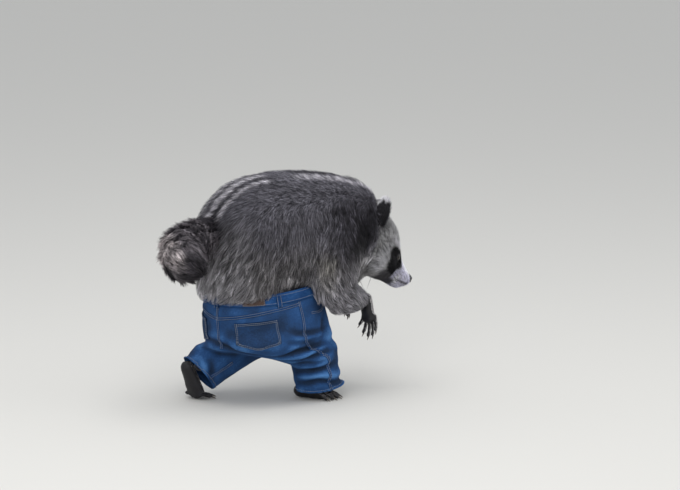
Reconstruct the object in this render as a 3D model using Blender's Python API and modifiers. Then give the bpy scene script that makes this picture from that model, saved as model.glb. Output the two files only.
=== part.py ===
"""A raccoon walking on its hind legs in a pair of small blue jeans, life size and still.

Axes: +X is the way it walks, +Y its left side, +Z up, and the soles stand on Z = 0.
Shapes are written in millimetres in the animal's own frame (X and Y from below the loins) and scaled once,
by MM, as they are built. At the end everything is moved so that the origin is the middle of the base.
The solids of the flesh reach out to the tips of the fur.
"""

import math

import bmesh
import bpy
from mathutils import Matrix, Vector

MM = 0.001
GAP = 0.35  # air between pieces that touch, mm

# Fineness of the solids: grid of the blending remesh (mm), and how many triangles each piece keeps.
BODY_GRID = 3.2
PAW_GRID = 1.5
BODY_TRIANGLES = 1600
PAW_TRIANGLES = 290
REGION_TRIANGLES = 90

# ---------------------------------------------------------------- head, in its own level frame
HEAD_PITCH = math.radians(35)  # the muzzle points this far below level
NOSE_TIP = Vector((230, 0, 177))
EYE_RADIUS = 6.2
EYE_AT = Vector((-57, 22.0, 17.0))  # left eye: forward, sideways and up from the nose tip
EAR_ROOT = Vector((-126, 37, 50))
EAR_SIZE = Vector((9.5, 20, 29))  # half depth, half width, half height
EAR_LEAN = math.radians(13)  # forward of upright
EAR_TURN = math.radians(-2)  # the opening looks outwards by this much
EAR_SPLAY = math.radians(12)

# Stations down the head: distance behind the nose, centre height, half height, half width.
HEAD_STATIONS = (
    (-4, -3.0, 9.5, 9.5),
    (-13, -4.5, 14.5, 14.0),
    (-26, -4.5, 19.5, 18.0),
    (-38, -3.0, 24.0, 20.5),
    (-50, 2.0, 31.0, 25.0),
    (-65, 8.5, 41.5, 34.0),
    (-83, 14.0, 50.0, 47.0),
    (-101, 17.0, 53.5, 55.0),
    (-121, 21.0, 53.5, 50.0),
    (-141, 27.0, 49.0, 44.0),
    (-156, 31.0, 38.0, 34.0),
)

# Stations along the trunk: place, centre height, half height, half width.
TRUNK_STATIONS = (
    (-151, 259, 17, 22),
    (-142, 256, 46, 48),
    (-121, 257, 75, 74),
    (-94, 262, 93, 89),
    (-62, 268, 103, 96),
    (-25, 273, 107, 98),
    (12, 273, 106.5, 97),
    (48, 273, 104, 92),
    (84, 274, 96.5, 84),
    (116, 274, 85, 74),
    (140, 273, 70, 63),
    (158, 268, 52, 50),
)

# Where the fur hangs over the waistband: height, half depth, half width.
FUR_SKIRT = ((238, 70, 82), (215, 80, 93), (196, 82, 95), (182, 81, 94), (167, 77, 90))

# Limbs: the line down the middle and the half width at each point.
TAIL_LINE = (
    (-126, 0, 277),
    (-162, -8, 276),
    (-193, -30, 270),
    (-213, -66, 262),
    (-218, -104, 254),
    (-213, -134, 249),
)
TAIL_RADII = (32, 38, 41, 40, 35, 17)
ARM = {
    "right": ((66, -48, 264), (60, -58, 222), (58, -62, 182), (90, -55, 169), (120, -46, 162)),
    "left": ((66, 48, 264), (60, 58, 224), (58, 60, 190), (84, 52, 183), (110, 40, 180)),
}
ARM_RADII = (52, 48, 39, 30, 17)
LEG = {
    "right": ((-25, -34, 136), (20, -37, 106), (42, -34, 66), (34, -22, 26)),
    "left": ((-58, 26, 140), (-80, 38, 100), (-110, 45, 68), (-146, 45, 50)),
}
LEG_RADII = (42, 27, 21, 13)

# Regions that take a limb off the body: how far each point of its line moves outwards, and extra radius.
ARM_REGION = ((20, 4), (18, 2), (16, -1), (9, 1), (2, 7))
ELBOW_SLICE = 120  # radius of the cut at the elbow
HAND_SPREAD = 0.34
HAND_WAYS = {  # the way each hand hangs, and the way to its thumb
    "right": ((0.10, 0, -1), (-0.30, 0.95, 0)),
    "left": ((0.28, -0.06, -0.96), (-0.10, -0.99, 0)),
}
NECK_PLANES = (((139, 0, 262), (0.94, 0, -0.34)), ((96, 0, 262), (1, 0, 0)))  # place and way forward

FOOT_TURN = math.radians(-45)  # the planted right foot points outwards
PUSH_TURN = math.radians(18)  # and so, less, does the left

# ---------------------------------------------------------------- jeans
HIP_TURN = math.radians(20)  # the stride turns the hips to the left
DENIM = 1.2  # thickness of the cloth
BAND_THICK = 2.4
SEAT_AROUND = 24  # points round the seat
SEAT_LEVELS = 4  # rows of faces from waist to crotch
CROTCH_SAG = 15
CROTCH_POINTS = 3  # points along the strip between the legs

# Rings of the seat, waist to crotch: centre, half depth, half width, and how much higher the front is.
SEAT_RINGS = (
    ((-44, 0, 191), 96, 84, 6),
    ((-41, 0, 168), 102, 88, 6),
    ((-37, 0, 144), 106, 91, 5),
    ((-32, 0, 120), 109, 92, 4),
    ((-30, 0, 98), 109, 90, 2),
)
# Rings of each leg, crotch to hem: centre, half depth, half width, and the lean of its plane from level.
LEG_RINGS = {
    "right": (
        ((37, -38, 75), 43, 41, 17),
        ((41, -34, 46), 39, 38, 6),
        ((45, -31, 26), 38, 36, 3),
        ((51, -30, 9), 40, 35, 1),
    ),
    "left": (
        ((-94, 48, 69), 48, 41, -24),
        ((-116, 47, 55), 41, 38, -36),
        ((-127, 46, 48), 36, 34, -46),
        ((-136, 46, 43), 36, 33, -51),
    ),
}


# Places on the seat: turn 0 is the back seam and 0.25 the right side; level 0 is the waist, 1 the crotch.
SEWN_THICK = 1.5
BAND_LEVELS = (-0.02, 0.16)
GROOVE_LEVELS = (-0.03, 0.5)  # what the fur keeps clear of
LOOP_TURNS = (0.0, 0.19, 0.38, 0.62, 0.81)
LOOP_HALF = 0.0085
LOOP_LEVELS = (-0.01, 0.18)
PATCH_TURNS = (0.085, 0.15)
PATCH_LEVELS = (0.0, 0.145)
POCKET_TURNS = (0.058, 0.175)
POCKET_LEVELS = (0.51, 0.86)
POCKET_POINT = 0.07
BUTTON_LEVEL = 0.07


# ================================================================ small tools
def rotation_down(angle):
    """Turns the head's own axes nose-down by the angle."""
    return Matrix.Rotation(angle, 3, "Y")


def head_place(local):
    """A point given from the nose tip, in the head's level frame, as a point of the animal."""
    return NOSE_TIP + rotation_down(HEAD_PITCH) @ Vector(local)


def finish(name, colour, roughness, metallic=0.0):
    """A plain Principled material; the hex colour is sRGB."""
    found = bpy.data.materials.get(name)
    if found:
        return found
    made = bpy.data.materials.new(name)
    made.use_nodes = True
    shader = made.node_tree.nodes["Principled BSDF"]
    channels = [int(colour[i : i + 2], 16) / 255 for i in (0, 2, 4)]
    linear = [c / 12.92 if c <= 0.04045 else ((c + 0.055) / 1.055) ** 2.4 for c in channels]
    shader.inputs["Base Color"].default_value = (*linear, 1.0)
    shader.inputs["Roughness"].default_value = roughness
    shader.inputs["Metallic"].default_value = metallic
    return made


def object_from(bm, name, home, material=None, closed=True):
    """Turns a bmesh built in millimetres into an object in metres, with a closed one's faces pointing out."""
    if closed:
        bmesh.ops.recalc_face_normals(bm, faces=bm.faces)
    bmesh.ops.scale(bm, vec=(MM, MM, MM), verts=bm.verts)
    mesh = bpy.data.meshes.new(name)
    bm.to_mesh(mesh)
    bm.free()
    obj = bpy.data.objects.new(name, mesh)
    home.objects.link(obj)
    if material:
        mesh.materials.append(material)
    return obj


def helper(obj):
    """Marks a cutter or a guide, which is not part of the model."""
    obj.hide_render = True
    obj.display_type = "WIRE"
    return obj


def bake(obj):
    """Replaces the object's mesh by what its modifiers make of it."""
    bpy.context.view_layer.update()
    graph = bpy.context.evaluated_depsgraph_get()
    mesh = bpy.data.meshes.new_from_object(obj.evaluated_get(graph))
    obj.modifiers.clear()
    obj.data = mesh
    return obj


def cut(obj, cutter, operation="DIFFERENCE"):
    """Applies a Boolean with the exact solver."""
    step = obj.modifiers.new("cut", "BOOLEAN")
    step.operation = operation
    step.solver = "EXACT"
    step.object = cutter
    return bake(obj)


def grown(obj, by_mm):
    """A copy of a solid that is larger all round, for cutting its neighbours clear of it."""
    copy = bpy.data.objects.new(obj.name + "_grown", obj.data.copy())
    HELPERS.objects.link(copy)
    step = copy.modifiers.new("grow", "DISPLACE")
    step.strength = by_mm * MM
    step.mid_level = 0.0
    return helper(bake(copy))


# ================================================================ rings and lofts
def oval(centre, across, up, half_across, half_up, count=20, power=2.2):
    """A ring of points on a superellipse."""
    points = []
    for i in range(count):
        angle = math.tau * i / count
        c, s = math.cos(angle), math.sin(angle)
        x = math.copysign(abs(c) ** (2 / power), c) * half_across
        z = math.copysign(abs(s) ** (2 / power), s) * half_up
        points.append(Vector(centre) + Vector(across) * x + Vector(up) * z)
    return points


def loft(bm, rings):
    """Joins rings of equal count with quads, and closes both ends."""
    rows = [[bm.verts.new(p) for p in ring] for ring in rings]
    for near, far in zip(rows, rows[1:]):
        for i in range(len(near)):
            j = (i + 1) % len(near)
            bm.faces.new((near[i], near[j], far[j], far[i]))
    bm.faces.new(rows[0])
    bm.faces.new(rows[-1])


def ball(bm, centre, radii, turn=None, segments=20):
    """An ellipsoid, turned about its own centre."""
    place = Matrix.Translation(centre) @ (turn or Matrix.Identity(3)).to_4x4() @ Matrix.Diagonal((*radii, 1))
    bmesh.ops.create_uvsphere(bm, u_segments=segments, v_segments=segments // 2, radius=1, matrix=place)


def smooth_line(points, steps=4):
    """A Catmull-Rom line through points, or through any tuples of numbers."""
    points = [Vector(p) for p in points]
    padded = [2 * points[0] - points[1], *points, 2 * points[-1] - points[-2]]
    line = []
    for a, b, c, d in zip(padded, padded[1:], padded[2:], padded[3:]):
        for k in range(steps):
            t = k / steps
            line.append(0.5 * (2 * b + (c - a) * t + (2 * a - 5 * b + 4 * c - d) * t**2 + (3 * b - a - 3 * c + d) * t**3))
    return line + [points[-1]]


def limb(bm, line, radii, flat=1.0, side=(0, 1, 0), count=14, steps=3):
    """A tapered tube along a smooth line. Its section is flat times as thick across side's normal."""
    packed = smooth_line([(*p, r) for p, r in zip(line, radii)], steps)
    centres = [Vector(p[:3]) for p in packed]
    rings = []
    for i, place in enumerate(centres):
        ahead = (centres[min(i + 1, len(centres) - 1)] - centres[max(i - 1, 0)]).normalized()
        across = (Vector(side) - ahead * ahead.dot(Vector(side))).normalized()
        up = ahead.cross(across)
        rings.append(oval(place, across, up, packed[i][3], packed[i][3] * flat, count, 2.0))
    loft(bm, rings)
    for end, radius in ((centres[0], packed[0][3]), (centres[-1], packed[-1][3])):
        ball(bm, end, (radius * 0.98,) * 3 if flat == 1 else (radius * flat,) * 3, segments=12)


def blended(obj, grid_mm, triangles, smoothing=6):
    """Fuses overlapping shapes into one soft surface of about that many triangles."""
    remesh = obj.modifiers.new("fuse", "REMESH")
    remesh.mode = "VOXEL"
    remesh.voxel_size = grid_mm * MM
    soften = obj.modifiers.new("soften", "SMOOTH")
    soften.factor = 0.5
    soften.iterations = smoothing
    bake(obj)
    obj.data.calc_loop_triangles()
    thin_out = obj.modifiers.new("thin out", "DECIMATE")
    thin_out.ratio = triangles / len(obj.data.loop_triangles)
    thin_out.use_collapse_triangulate = True
    return bake(obj)


# ================================================================ the animal
def head_shapes(bm):
    """Skull, muzzle, cheeks and ruffs."""
    turn = rotation_down(HEAD_PITCH)
    across, up = Vector((0, 1, 0)), turn @ Vector((0, 0, 1))
    loft(bm, [oval(head_place((x, 0, z)), across, up, w, h, 24) for x, z, h, w in HEAD_STATIONS])
    for side in (-1, 1):
        ball(bm, head_place((-90, 33 * side, -8)), (38, 31, 31), turn)  # cheek ruff
        ball(bm, head_place((-67, 15 * side, 22)), (15, 12, 11), turn)  # brow
        ball(bm, head_place((-19, 8 * side, -5)), (17, 10.5, 12), turn)  # whisker pad
    ball(bm, head_place((-30, 0, -16)), (22, 12, 12), turn)  # chin


def body_solid(home):
    """All flesh but the paws and ears, fused: head, neck, trunk, tail, arms and thighs."""
    bm = bmesh.new()
    loft(bm, [oval((x, 0, z), (0, 1, 0), (0, 0, 1), w, h, 28) for x, z, h, w in TRUNK_STATIONS])
    head_shapes(bm)
    limb(bm, ((84, 0, 262), (118, 0, 264), (150, 0, 262)), (68, 62, 50), steps=2, count=20)  # neck
    ball(bm, (92, 0, 214), (50, 56, 48))  # chest
    ball(bm, (-4, 0, 206), (66, 80, 40))  # belly, above the waistband
    loft(bm, [oval((-70, 0, z), (0, 1, 0), (1, 0, 0), w, d, 28, 2.0) for z, d, w in FUR_SKIRT])
    ball(bm, (-44, 0, 160), (78, 66, 62), Matrix.Rotation(HIP_TURN, 3, "Z"))  # pelvis
    limb(bm, TAIL_LINE, TAIL_RADII)
    for side in ("right", "left"):
        limb(bm, ARM[side], ARM_RADII)
        limb(bm, LEG[side], LEG_RADII)
    body = object_from(bm, "body", home)
    return blended(body, BODY_GRID, BODY_TRIANGLES, smoothing=8)


def ear_solid(side, home):
    """A rounded cup, open forwards and outwards."""
    sign = 1 if side == "left" else -1
    turn = rotation_down(EAR_LEAN) @ Matrix.Rotation(EAR_TURN * sign, 3, "Z")
    turn = turn @ Matrix.Rotation(-EAR_SPLAY * sign, 3, "X")
    root = head_place((EAR_ROOT.x, EAR_ROOT.y * sign, EAR_ROOT.z))
    centre = root + turn @ Vector((0, 0, 14))
    bm = bmesh.new()
    ball(bm, centre, EAR_SIZE, turn, segments=12)
    ear = object_from(bm, "ear_" + side, home)
    bm = bmesh.new()
    hollow = Vector((EAR_SIZE.x * 1.0, EAR_SIZE.y * 0.80, EAR_SIZE.z * 0.82))
    ball(bm, centre + turn @ Vector((EAR_SIZE.x * 0.62, 0, -1)), hollow, turn, segments=10)
    return cut(ear, helper(object_from(bm, "hollow_" + side, HELPERS)))


def nose_solid(home):
    """The bare nose pad, with a dent for each nostril."""
    turn = rotation_down(HEAD_PITCH)
    bm = bmesh.new()
    ball(bm, head_place((-5.5, 0, 0.5)), (7.5, 9.0, 7.0), turn, segments=12)
    nose = object_from(bm, "nose", home)
    for sign in (-1, 1):
        bm = bmesh.new()
        ball(bm, head_place((0.6, 4.6 * sign, 0)), (2.4, 2.0, 2.6), turn, segments=6)
        cut(nose, helper(object_from(bm, f"nostril_{sign}", HELPERS)))
    return nose


def paw_solid(name, home, heel, palm, toes, across, heel_size, palm_size, toe_radius, claw):
    """A heel or wrist, a palm and five toes with claws, fused.

    toes is a list of three points each: knuckle, middle and tip. Sizes are half width and half thickness.
    """
    bm = bmesh.new()
    ahead = (Vector(palm) - Vector(heel)).normalized()
    across = (Vector(across) - ahead * ahead.dot(Vector(across))).normalized()
    up = ahead.cross(across)
    sections = []
    for t in (0, 0.25, 0.55, 0.85, 1):
        place = Vector(heel).lerp(Vector(palm), t)
        half = [a + (b - a) * t for a, b in zip(heel_size, palm_size)]
        sections.append(oval(place, across, up, *half, 16, 2.3))
    loft(bm, sections)
    frame = Matrix((ahead, across, up)).transposed()
    ball(bm, heel, (heel_size[0] * 0.9, heel_size[0] * 0.98, heel_size[1]), frame)
    ball(bm, palm, (palm_size[0] * 0.62, palm_size[0], palm_size[1]), frame)
    for knuckle, middle, tip in toes:
        limb(bm, (knuckle, middle, tip), (toe_radius * 1.1, toe_radius, toe_radius * 0.8), count=10)
        along = (Vector(tip) - Vector(middle)).normalized()
        bend = Vector(claw) * 0.45
        end = Vector(tip) + along * (toe_radius * 1.3) + bend
        limb(bm, (Vector(tip) + along * 0.5, end, end + along * 3.2 + bend), (2.0, 1.6, 1.0), count=8)
    return blended(object_from(bm, name, home), PAW_GRID, PAW_TRIANGLES, smoothing=2)


def fan_of_toes(palm, across, ahead, droop, lengths, spread, splay):
    """Knuckle, middle and tip of five toes, thumb side first."""
    palm, across, ahead, droop = (Vector(v) for v in (palm, across, ahead, droop))
    toes = []
    for k, length in enumerate(lengths):
        offset = (2 - k) / 2
        way = (ahead + across * offset * splay).normalized()
        back = ahead * (-3.0 * abs(offset) ** 2)
        knuckle = palm + across * offset * spread + back
        middle = knuckle + way * length * 0.5 + droop * 0.15
        toes.append((knuckle, middle, knuckle + way * length + droop))
    return toes


def forepaw(side, home):
    """A hand hanging from the wrist, palm backwards."""
    wrist = Vector(ARM[side][-1]) + Vector((7, 0, -2))
    hang, inward = (Vector(v).normalized() for v in HAND_WAYS[side])
    palm = wrist + hang * 31
    toes = fan_of_toes(palm, inward, hang, (-3, 0, 0), (17, 26, 29, 27, 21), 12.5, HAND_SPREAD)
    return paw_solid(
        "forepaw_" + side, home, wrist - hang * 4, palm, toes, inward, (11.5, 10), (15.5, 8.5), 4.2, (-2.2, 0, -1)
    )


def stand_flat(foot):
    """Planes off what reaches below the ground, which leaves small flats under the pads."""
    bm = bmesh.new()
    size = Matrix.Diagonal((300, 300, 20, 1))
    bmesh.ops.create_cube(bm, size=1, matrix=Matrix.Translation((0, 0, -10)) @ size)
    return keep_largest(cut(foot, helper(object_from(bm, "ground", HELPERS))))


def hindfoot_right(home):
    """Flat on the ground under the hem, turned outwards."""
    heel = Vector((22, -9, 10.5))
    ahead = Vector((math.cos(FOOT_TURN), math.sin(FOOT_TURN), 0))
    across = Vector((-ahead.y, ahead.x, 0))
    palm = heel + ahead * 40 - Vector((0, 0, 0.8))
    toes = fan_of_toes(palm, across, ahead, (0, 0, -6.0), (17, 25, 27, 25, 20), 16.5, 0.3)
    foot = paw_solid("hindfoot_right", home, heel, palm, toes, across, (13, 12), (20, 11), 5.2, (0, 0, -0.6))
    return stand_flat(foot)


def hindfoot_left(home):
    """Heel raised and sole backwards, pushing off from the toes."""
    heel = Vector((-158, 42, 54.5))
    palm = Vector((-141, 46, 13.5))
    ahead = Vector((math.cos(PUSH_TURN), math.sin(PUSH_TURN), 0))
    across = Vector((ahead.y, -ahead.x, 0))
    knuckles = palm + Vector((1, 0, -7.5))
    toes = fan_of_toes(knuckles, across, ahead, (0, 0, -3.2), (17, 24, 26, 24, 19), 16.5, 0.3)
    foot = paw_solid("hindfoot_left", home, heel, palm, toes, across, (13.5, 12), (20, 11), 5.2, (0, 0, -0.6))
    return stand_flat(foot)


# ================================================================ the jeans
def seat_ring_point(turn, row, out):
    """A corner of the seat's grid, on one of its rings."""
    centre, deep, wide, lift = SEAT_RINGS[row]
    c, s = math.cos(math.tau * turn), math.sin(math.tau * turn)
    x = -math.copysign(abs(c) ** 0.88, c) * (deep + out)
    y = -math.copysign(abs(s) ** 0.88, s) * (wide + out)
    return Vector(centre) + Matrix.Rotation(HIP_TURN, 3, "Z") @ Vector((x, y, x / deep * lift))


def seat_point(turn, level, out=0.0):
    """A place on the seat's flat-faced surface: turn 0 is the back seam, 0.25 the right side."""
    column = math.floor(turn * SEAT_AROUND)
    row = min(max(int(level * SEAT_LEVELS), 0), SEAT_LEVELS - 1)
    edges = []
    for k in (column, column + 1):
        high, low = (seat_ring_point(k / SEAT_AROUND, r, out) for r in (row, row + 1))
        edges.append(high.lerp(low, level * SEAT_LEVELS - row))
    return edges[0].lerp(edges[1], turn * SEAT_AROUND - column)


def stops(start, end, count):
    """Both ends, and the grid lines between them."""
    first, last = math.ceil(start * count + 1e-6), math.floor(end * count - 1e-6)
    return [start, *(k / count for k in range(first, last + 1)), end]


def leg_ring(ring, angles, side):
    """Points round a trouser leg: angle 0 is its back, a half turn its front, by way of its outer side."""
    centre, deep, wide, lean = ring
    outward = -1 if side == "right" else 1
    tilt = Matrix.Rotation(math.radians(-lean), 3, "Y")
    turn = tilt @ Matrix.Rotation(HIP_TURN * 0.5, 3, "Z")
    return [
        Vector(centre) + turn @ Vector((-math.cos(a) * deep, math.sin(a) * wide * outward, 0)) for a in angles
    ]


def trouser_leg(side):
    """All the rings of one leg, from the loop that it shares with the seat down to the hem."""
    half = SEAT_AROUND // 2
    sign = 1 if side == "right" else -1
    loop = [seat_point(sign * i / SEAT_AROUND, 1.0) for i in range(half + 1)]
    back, front = loop[0], loop[-1]
    for k in range(CROTCH_POINTS):
        t = (k + 1) / (CROTCH_POINTS + 1)
        loop.append(front.lerp(back, t) + Vector((0, 0, -CROTCH_SAG * math.sin(math.pi * t) ** 0.7)))
    count = len(loop)
    first = [math.pi * i / half for i in range(half + 1)]
    first += [math.pi * (1 + (k + 1) / (CROTCH_POINTS + 1)) for k in range(CROTCH_POINTS)]
    even = [math.pi / 2 + math.tau * (i - half / 2) / count for i in range(count)]
    rings = [loop]
    for k, ring in enumerate(LEG_RINGS[side]):
        t = min(1.0, (k + 1) / 3)
        angles = [a + (b - a) * t for a, b in zip(first, even)]
        rings.append(leg_ring(ring, angles, side))
    rings.insert(1, [a.lerp(b, 0.5) for a, b in zip(*rings[:2])])
    return rings


def denim_shell(name, rings, home, material):
    """A cloth tube through the rings, as a closed solid."""
    bm = bmesh.new()
    loft(bm, rings)
    bmesh.ops.recalc_face_normals(bm, faces=bm.faces)
    ends = [face for face in bm.faces if len(face.verts) > 4]
    bmesh.ops.delete(bm, geom=ends, context="FACES_ONLY")
    obj = object_from(bm, name, home, material, closed=False)
    cloth = obj.modifiers.new("cloth", "SOLIDIFY")
    cloth.thickness = DENIM * MM
    cloth.offset = -1
    return bake(obj)


def seat_panel(name, home, material, turns, levels, out, thick, point=0.0):
    """A piece sewn on the seat, following its faces at a height out above them.

    turns and levels give its span; point is how much further its lower edge reaches in the middle.
    """
    whole = turns[1] - turns[0] >= 1.0
    across = stops(*turns, SEAT_AROUND)[: -1 if whole else None]
    rows = len(stops(*levels, SEAT_LEVELS)) - 1
    bm = bmesh.new()
    layers = []
    for height in (out, out + thick):
        grid = []
        for turn in across:
            off = abs(2 * (turn - turns[0]) / (turns[1] - turns[0]) - 1)
            down = stops(levels[0], levels[1] + point * (1 - off), SEAT_LEVELS)
            grid.append([bm.verts.new(seat_point(turn, level, height)) for level in down])
        layers.append(grid)
    inner, outer = layers
    count = len(across)
    for i in range(count if whole else count - 1):
        k = (i + 1) % count
        for j in range(rows):
            for grid in layers:
                bm.faces.new((grid[i][j], grid[k][j], grid[k][j + 1], grid[i][j + 1]))
        for j in (0, rows):
            bm.faces.new((inner[i][j], inner[k][j], outer[k][j], outer[i][j]))
    if not whole:
        for i in (0, count - 1):
            for j in range(rows):
                bm.faces.new((inner[i][j], inner[i][j + 1], outer[i][j + 1], outer[i][j]))
    return object_from(bm, name, home, material)


def make_jeans(home):
    """Seat, legs, waistband, pockets, belt loops, patch and button. Returns the button and the legs."""
    denim = finish("denim", "3A6288", 0.85)
    leather = finish("patch_leather", "6B4A2E", 0.6)
    brass = finish("brass", "8A7446", 0.35, 1.0)
    turns = [i / SEAT_AROUND for i in range(SEAT_AROUND)]
    rows = [[seat_point(turn, k / SEAT_LEVELS) for turn in turns] for k in range(SEAT_LEVELS + 1)]
    seat = denim_shell("jeans_seat", rows, home, denim)
    legs = {}
    for side in ("right", "left"):
        legs[side] = denim_shell("jeans_leg_" + side, trouser_leg(side), home, denim)
        cut(legs[side], grown(seat, GAP))
    cut(legs["left"], grown(legs["right"], GAP))
    seat_panel("jeans_waistband", home, denim, (0, 1), BAND_LEVELS, GAP, BAND_THICK)
    over_band = GAP * 2 + BAND_THICK
    for k, turn in enumerate(LOOP_TURNS):
        span = (turn - LOOP_HALF, turn + LOOP_HALF)
        seat_panel(f"belt_loop_{k + 1}", home, denim, span, LOOP_LEVELS, over_band, SEWN_THICK)
    seat_panel("waist_patch", home, leather, PATCH_TURNS, PATCH_LEVELS, over_band, SEWN_THICK)
    near, far = POCKET_TURNS
    for side, span in (("right", (near, far)), ("left", (-far, -near))):
        seat_panel("pocket_" + side, home, denim, span, POCKET_LEVELS, GAP, SEWN_THICK, POCKET_POINT)
    bm = bmesh.new()
    along = seat_point(0.52, BUTTON_LEVEL) - seat_point(0.48, BUTTON_LEVEL)
    down = seat_point(0.5, BUTTON_LEVEL + 0.02) - seat_point(0.5, BUTTON_LEVEL)
    facing = along.cross(down).normalized()
    facing *= math.copysign(1, facing.x)
    place = Matrix.Translation(seat_point(0.5, BUTTON_LEVEL, over_band) + facing * 1.3)
    place = place @ facing.to_track_quat("Z", "Y").to_matrix().to_4x4()
    bmesh.ops.create_cone(bm, cap_ends=True, segments=12, radius1=7.5, radius2=6.6, depth=2.0, matrix=place)
    return object_from(bm, "button", home, brass), legs


# ================================================================ dividing the body
def loose_pieces(obj):
    """The separate closed surfaces of a mesh, as bmeshes in metres, largest volume first."""
    whole = bmesh.new()
    whole.from_mesh(obj.data)
    left = set(whole.verts)
    pieces = []
    while left:
        group = {left.pop()}
        edge = list(group)
        while edge:
            near = {e.other_vert(v) for v in edge for e in v.link_edges} - group
            group |= near
            edge = list(near)
        left -= group
        piece = bmesh.new()
        made = {v.index: piece.verts.new(v.co) for v in sorted(group, key=lambda v: v.index)}
        for face in sorted({f for v in group for f in v.link_faces}, key=lambda f: f.index):
            piece.faces.new([made[v.index] for v in face.verts])
        pieces.append(piece)
    whole.free()
    return sorted(pieces, key=lambda piece: -abs(piece.calc_volume()))


def keep_largest(obj):
    """Drops crumbs that a cut has left."""
    pieces = loose_pieces(obj)
    pieces[0].to_mesh(obj.data)
    for piece in pieces:
        piece.free()
    return obj


def take_off(body, region, name, home):
    """Makes what lies inside the region a piece of its own, with a gap round it."""
    piece = bpy.data.objects.new(name, body.data.copy())
    home.objects.link(piece)
    cut(piece, region, "INTERSECT")
    cut(body, grown(region, GAP))
    keep_largest(body)
    return keep_largest(piece)


def divide(obj, place, forward, names, home, radius=160):
    """Splits a solid at a plane into two, with a gap; names are for the part behind and the part ahead."""
    forward = Vector(forward).normalized()
    turn = forward.to_track_quat("Z", "Y").to_matrix().to_4x4()
    bm = bmesh.new()
    at = Matrix.Translation(Vector(place)) @ turn
    bmesh.ops.create_cone(
        bm, cap_ends=True, segments=24, radius1=radius, radius2=radius, depth=GAP, matrix=at
    )
    cut(obj, helper(object_from(bm, "slice", HELPERS)))
    best = {}
    for piece in loose_pieces(obj):
        middle = sum((v.co for v in piece.verts), Vector()) / len(piece.verts)
        name = names[1] if (middle / MM - Vector(place)).dot(forward) > 0 else names[0]
        if name in best:  # only crumbs come after the largest
            piece.free()
            continue
        mesh = bpy.data.meshes.new(name)
        piece.to_mesh(mesh)
        piece.free()
        best[name] = bpy.data.objects.new(name, mesh)
        home.objects.link(best[name])
    bpy.data.objects.remove(obj)
    return best[names[0]], best[names[1]]


def limb_region(line, radii, name):
    """A guide solid round a limb."""
    bm = bmesh.new()
    limb(bm, line, radii, count=16, steps=2)
    region = object_from(bm, name, HELPERS)
    return helper(blended(region, 5.0, REGION_TRIANGLES, smoothing=3))


def arm_region(side):
    """Round one arm, standing off the breastbone at the shoulder."""
    sign = 1 if side == "left" else -1
    line = [Vector(p) + Vector((0, out * sign, 0)) for p, (out, _) in zip(ARM[side], ARM_REGION)]
    radii = [r + more for r, (_, more) in zip(ARM_RADII, ARM_REGION)]
    return limb_region(line, radii, "arm_region_" + side)


def eye_solid(side, home, material):
    """One eyeball."""
    sign = 1 if side == "left" else -1
    bm = bmesh.new()
    ball(bm, head_place((EYE_AT.x, EYE_AT.y * sign, EYE_AT.z)), (EYE_RADIUS,) * 3, segments=12)
    return object_from(bm, "eye_" + side, home, material)


# ================================================================ putting it together
def dress(obj, material):
    """Gives a piece its one material."""
    obj.data.materials.clear()
    obj.data.materials.append(material)


def centre_on_base(home):
    """Moves the whole model so that the origin is the middle of its box's floor."""
    spots = [v.co for obj in home.objects for v in obj.data.vertices]
    middle = [(min(p[k] for p in spots) + max(p[k] for p in spots)) / 2 for k in (0, 1)]
    shift = Vector((-middle[0], -middle[1], -min(p.z for p in spots)))
    for obj in home.objects:
        obj.data.transform(Matrix.Translation(shift))
    return shift


def main():
    grey = finish("grey_fur", "6B645F", 0.95)
    dark = finish("dark_fur", "3A3534", 0.95)
    bare = finish("bare_skin", "1E1A1B", 0.55)
    wet = finish("nose_skin", "0E0D0E", 0.3)
    iris = finish("eye", "0B0807", 0.1)

    button, legs = make_jeans(MODEL)
    ears = [ear_solid(side, MODEL) for side in ("right", "left")]
    paws = [forepaw(side, MODEL) for side in ("right", "left")]
    feet = {"right": hindfoot_right(MODEL), "left": hindfoot_left(MODEL)}
    for side, foot in feet.items():
        keep_largest(cut(legs[side], grown(foot, GAP)))  # the hem rests on the foot
    paws += feet.values()
    eyes = [eye_solid(side, MODEL, iris) for side in ("right", "left")]
    nose = nose_solid(MODEL)

    body = body_solid(MODEL)
    inside, outside = -DENIM - GAP, GAP * 3 + BAND_THICK + SEWN_THICK
    cut(body, helper(seat_panel("waist_groove", HELPERS, None, (0, 1), GROOVE_LEVELS, inside, outside - inside)))
    for piece in (*ears, *paws, *eyes, nose, button):
        cut(body, grown(piece, GAP))
    keep_largest(body)

    flesh = []
    for side in ("right", "left"):
        arm = take_off(body, arm_region(side), "arm", MODEL)
        up, down = (Vector(ARM[side][2]) - Vector(ARM[side][k]) for k in (1, 3))
        bend = up.normalized() - down.normalized()
        names = (f"foreleg_upper_{side}", f"foreleg_lower_{side}")
        flesh += divide(arm, ARM[side][2], bend, names, MODEL, ELBOW_SLICE)
        region = limb_region(LEG[side][1:], [r + 5 for r in LEG_RADII[1:]], "leg_region_" + side)
        flesh.append(take_off(body, region, "hindleg_" + side, MODEL))
    region = limb_region(TAIL_LINE[1:], [r + 5 for r in TAIL_RADII[1:]], "tail_region")
    tail = take_off(body, region, "tail", MODEL)
    flow = Vector(TAIL_LINE[4]) - Vector(TAIL_LINE[2])
    flesh += divide(tail, TAIL_LINE[3], flow, ("tail_base", "tail_tip"), MODEL)
    (place, way), (lower, ahead) = NECK_PLANES
    rest, head = divide(body, place, way, ("rest", "head"), MODEL)
    flesh += [head, *divide(rest, lower, ahead, ("trunk", "neck"), MODEL)]

    for piece in flesh:
        dress(piece, grey)
    for piece in ears:
        dress(piece, dark)
    for piece in paws:
        dress(piece, bare)
    dress(nose, wet)


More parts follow.
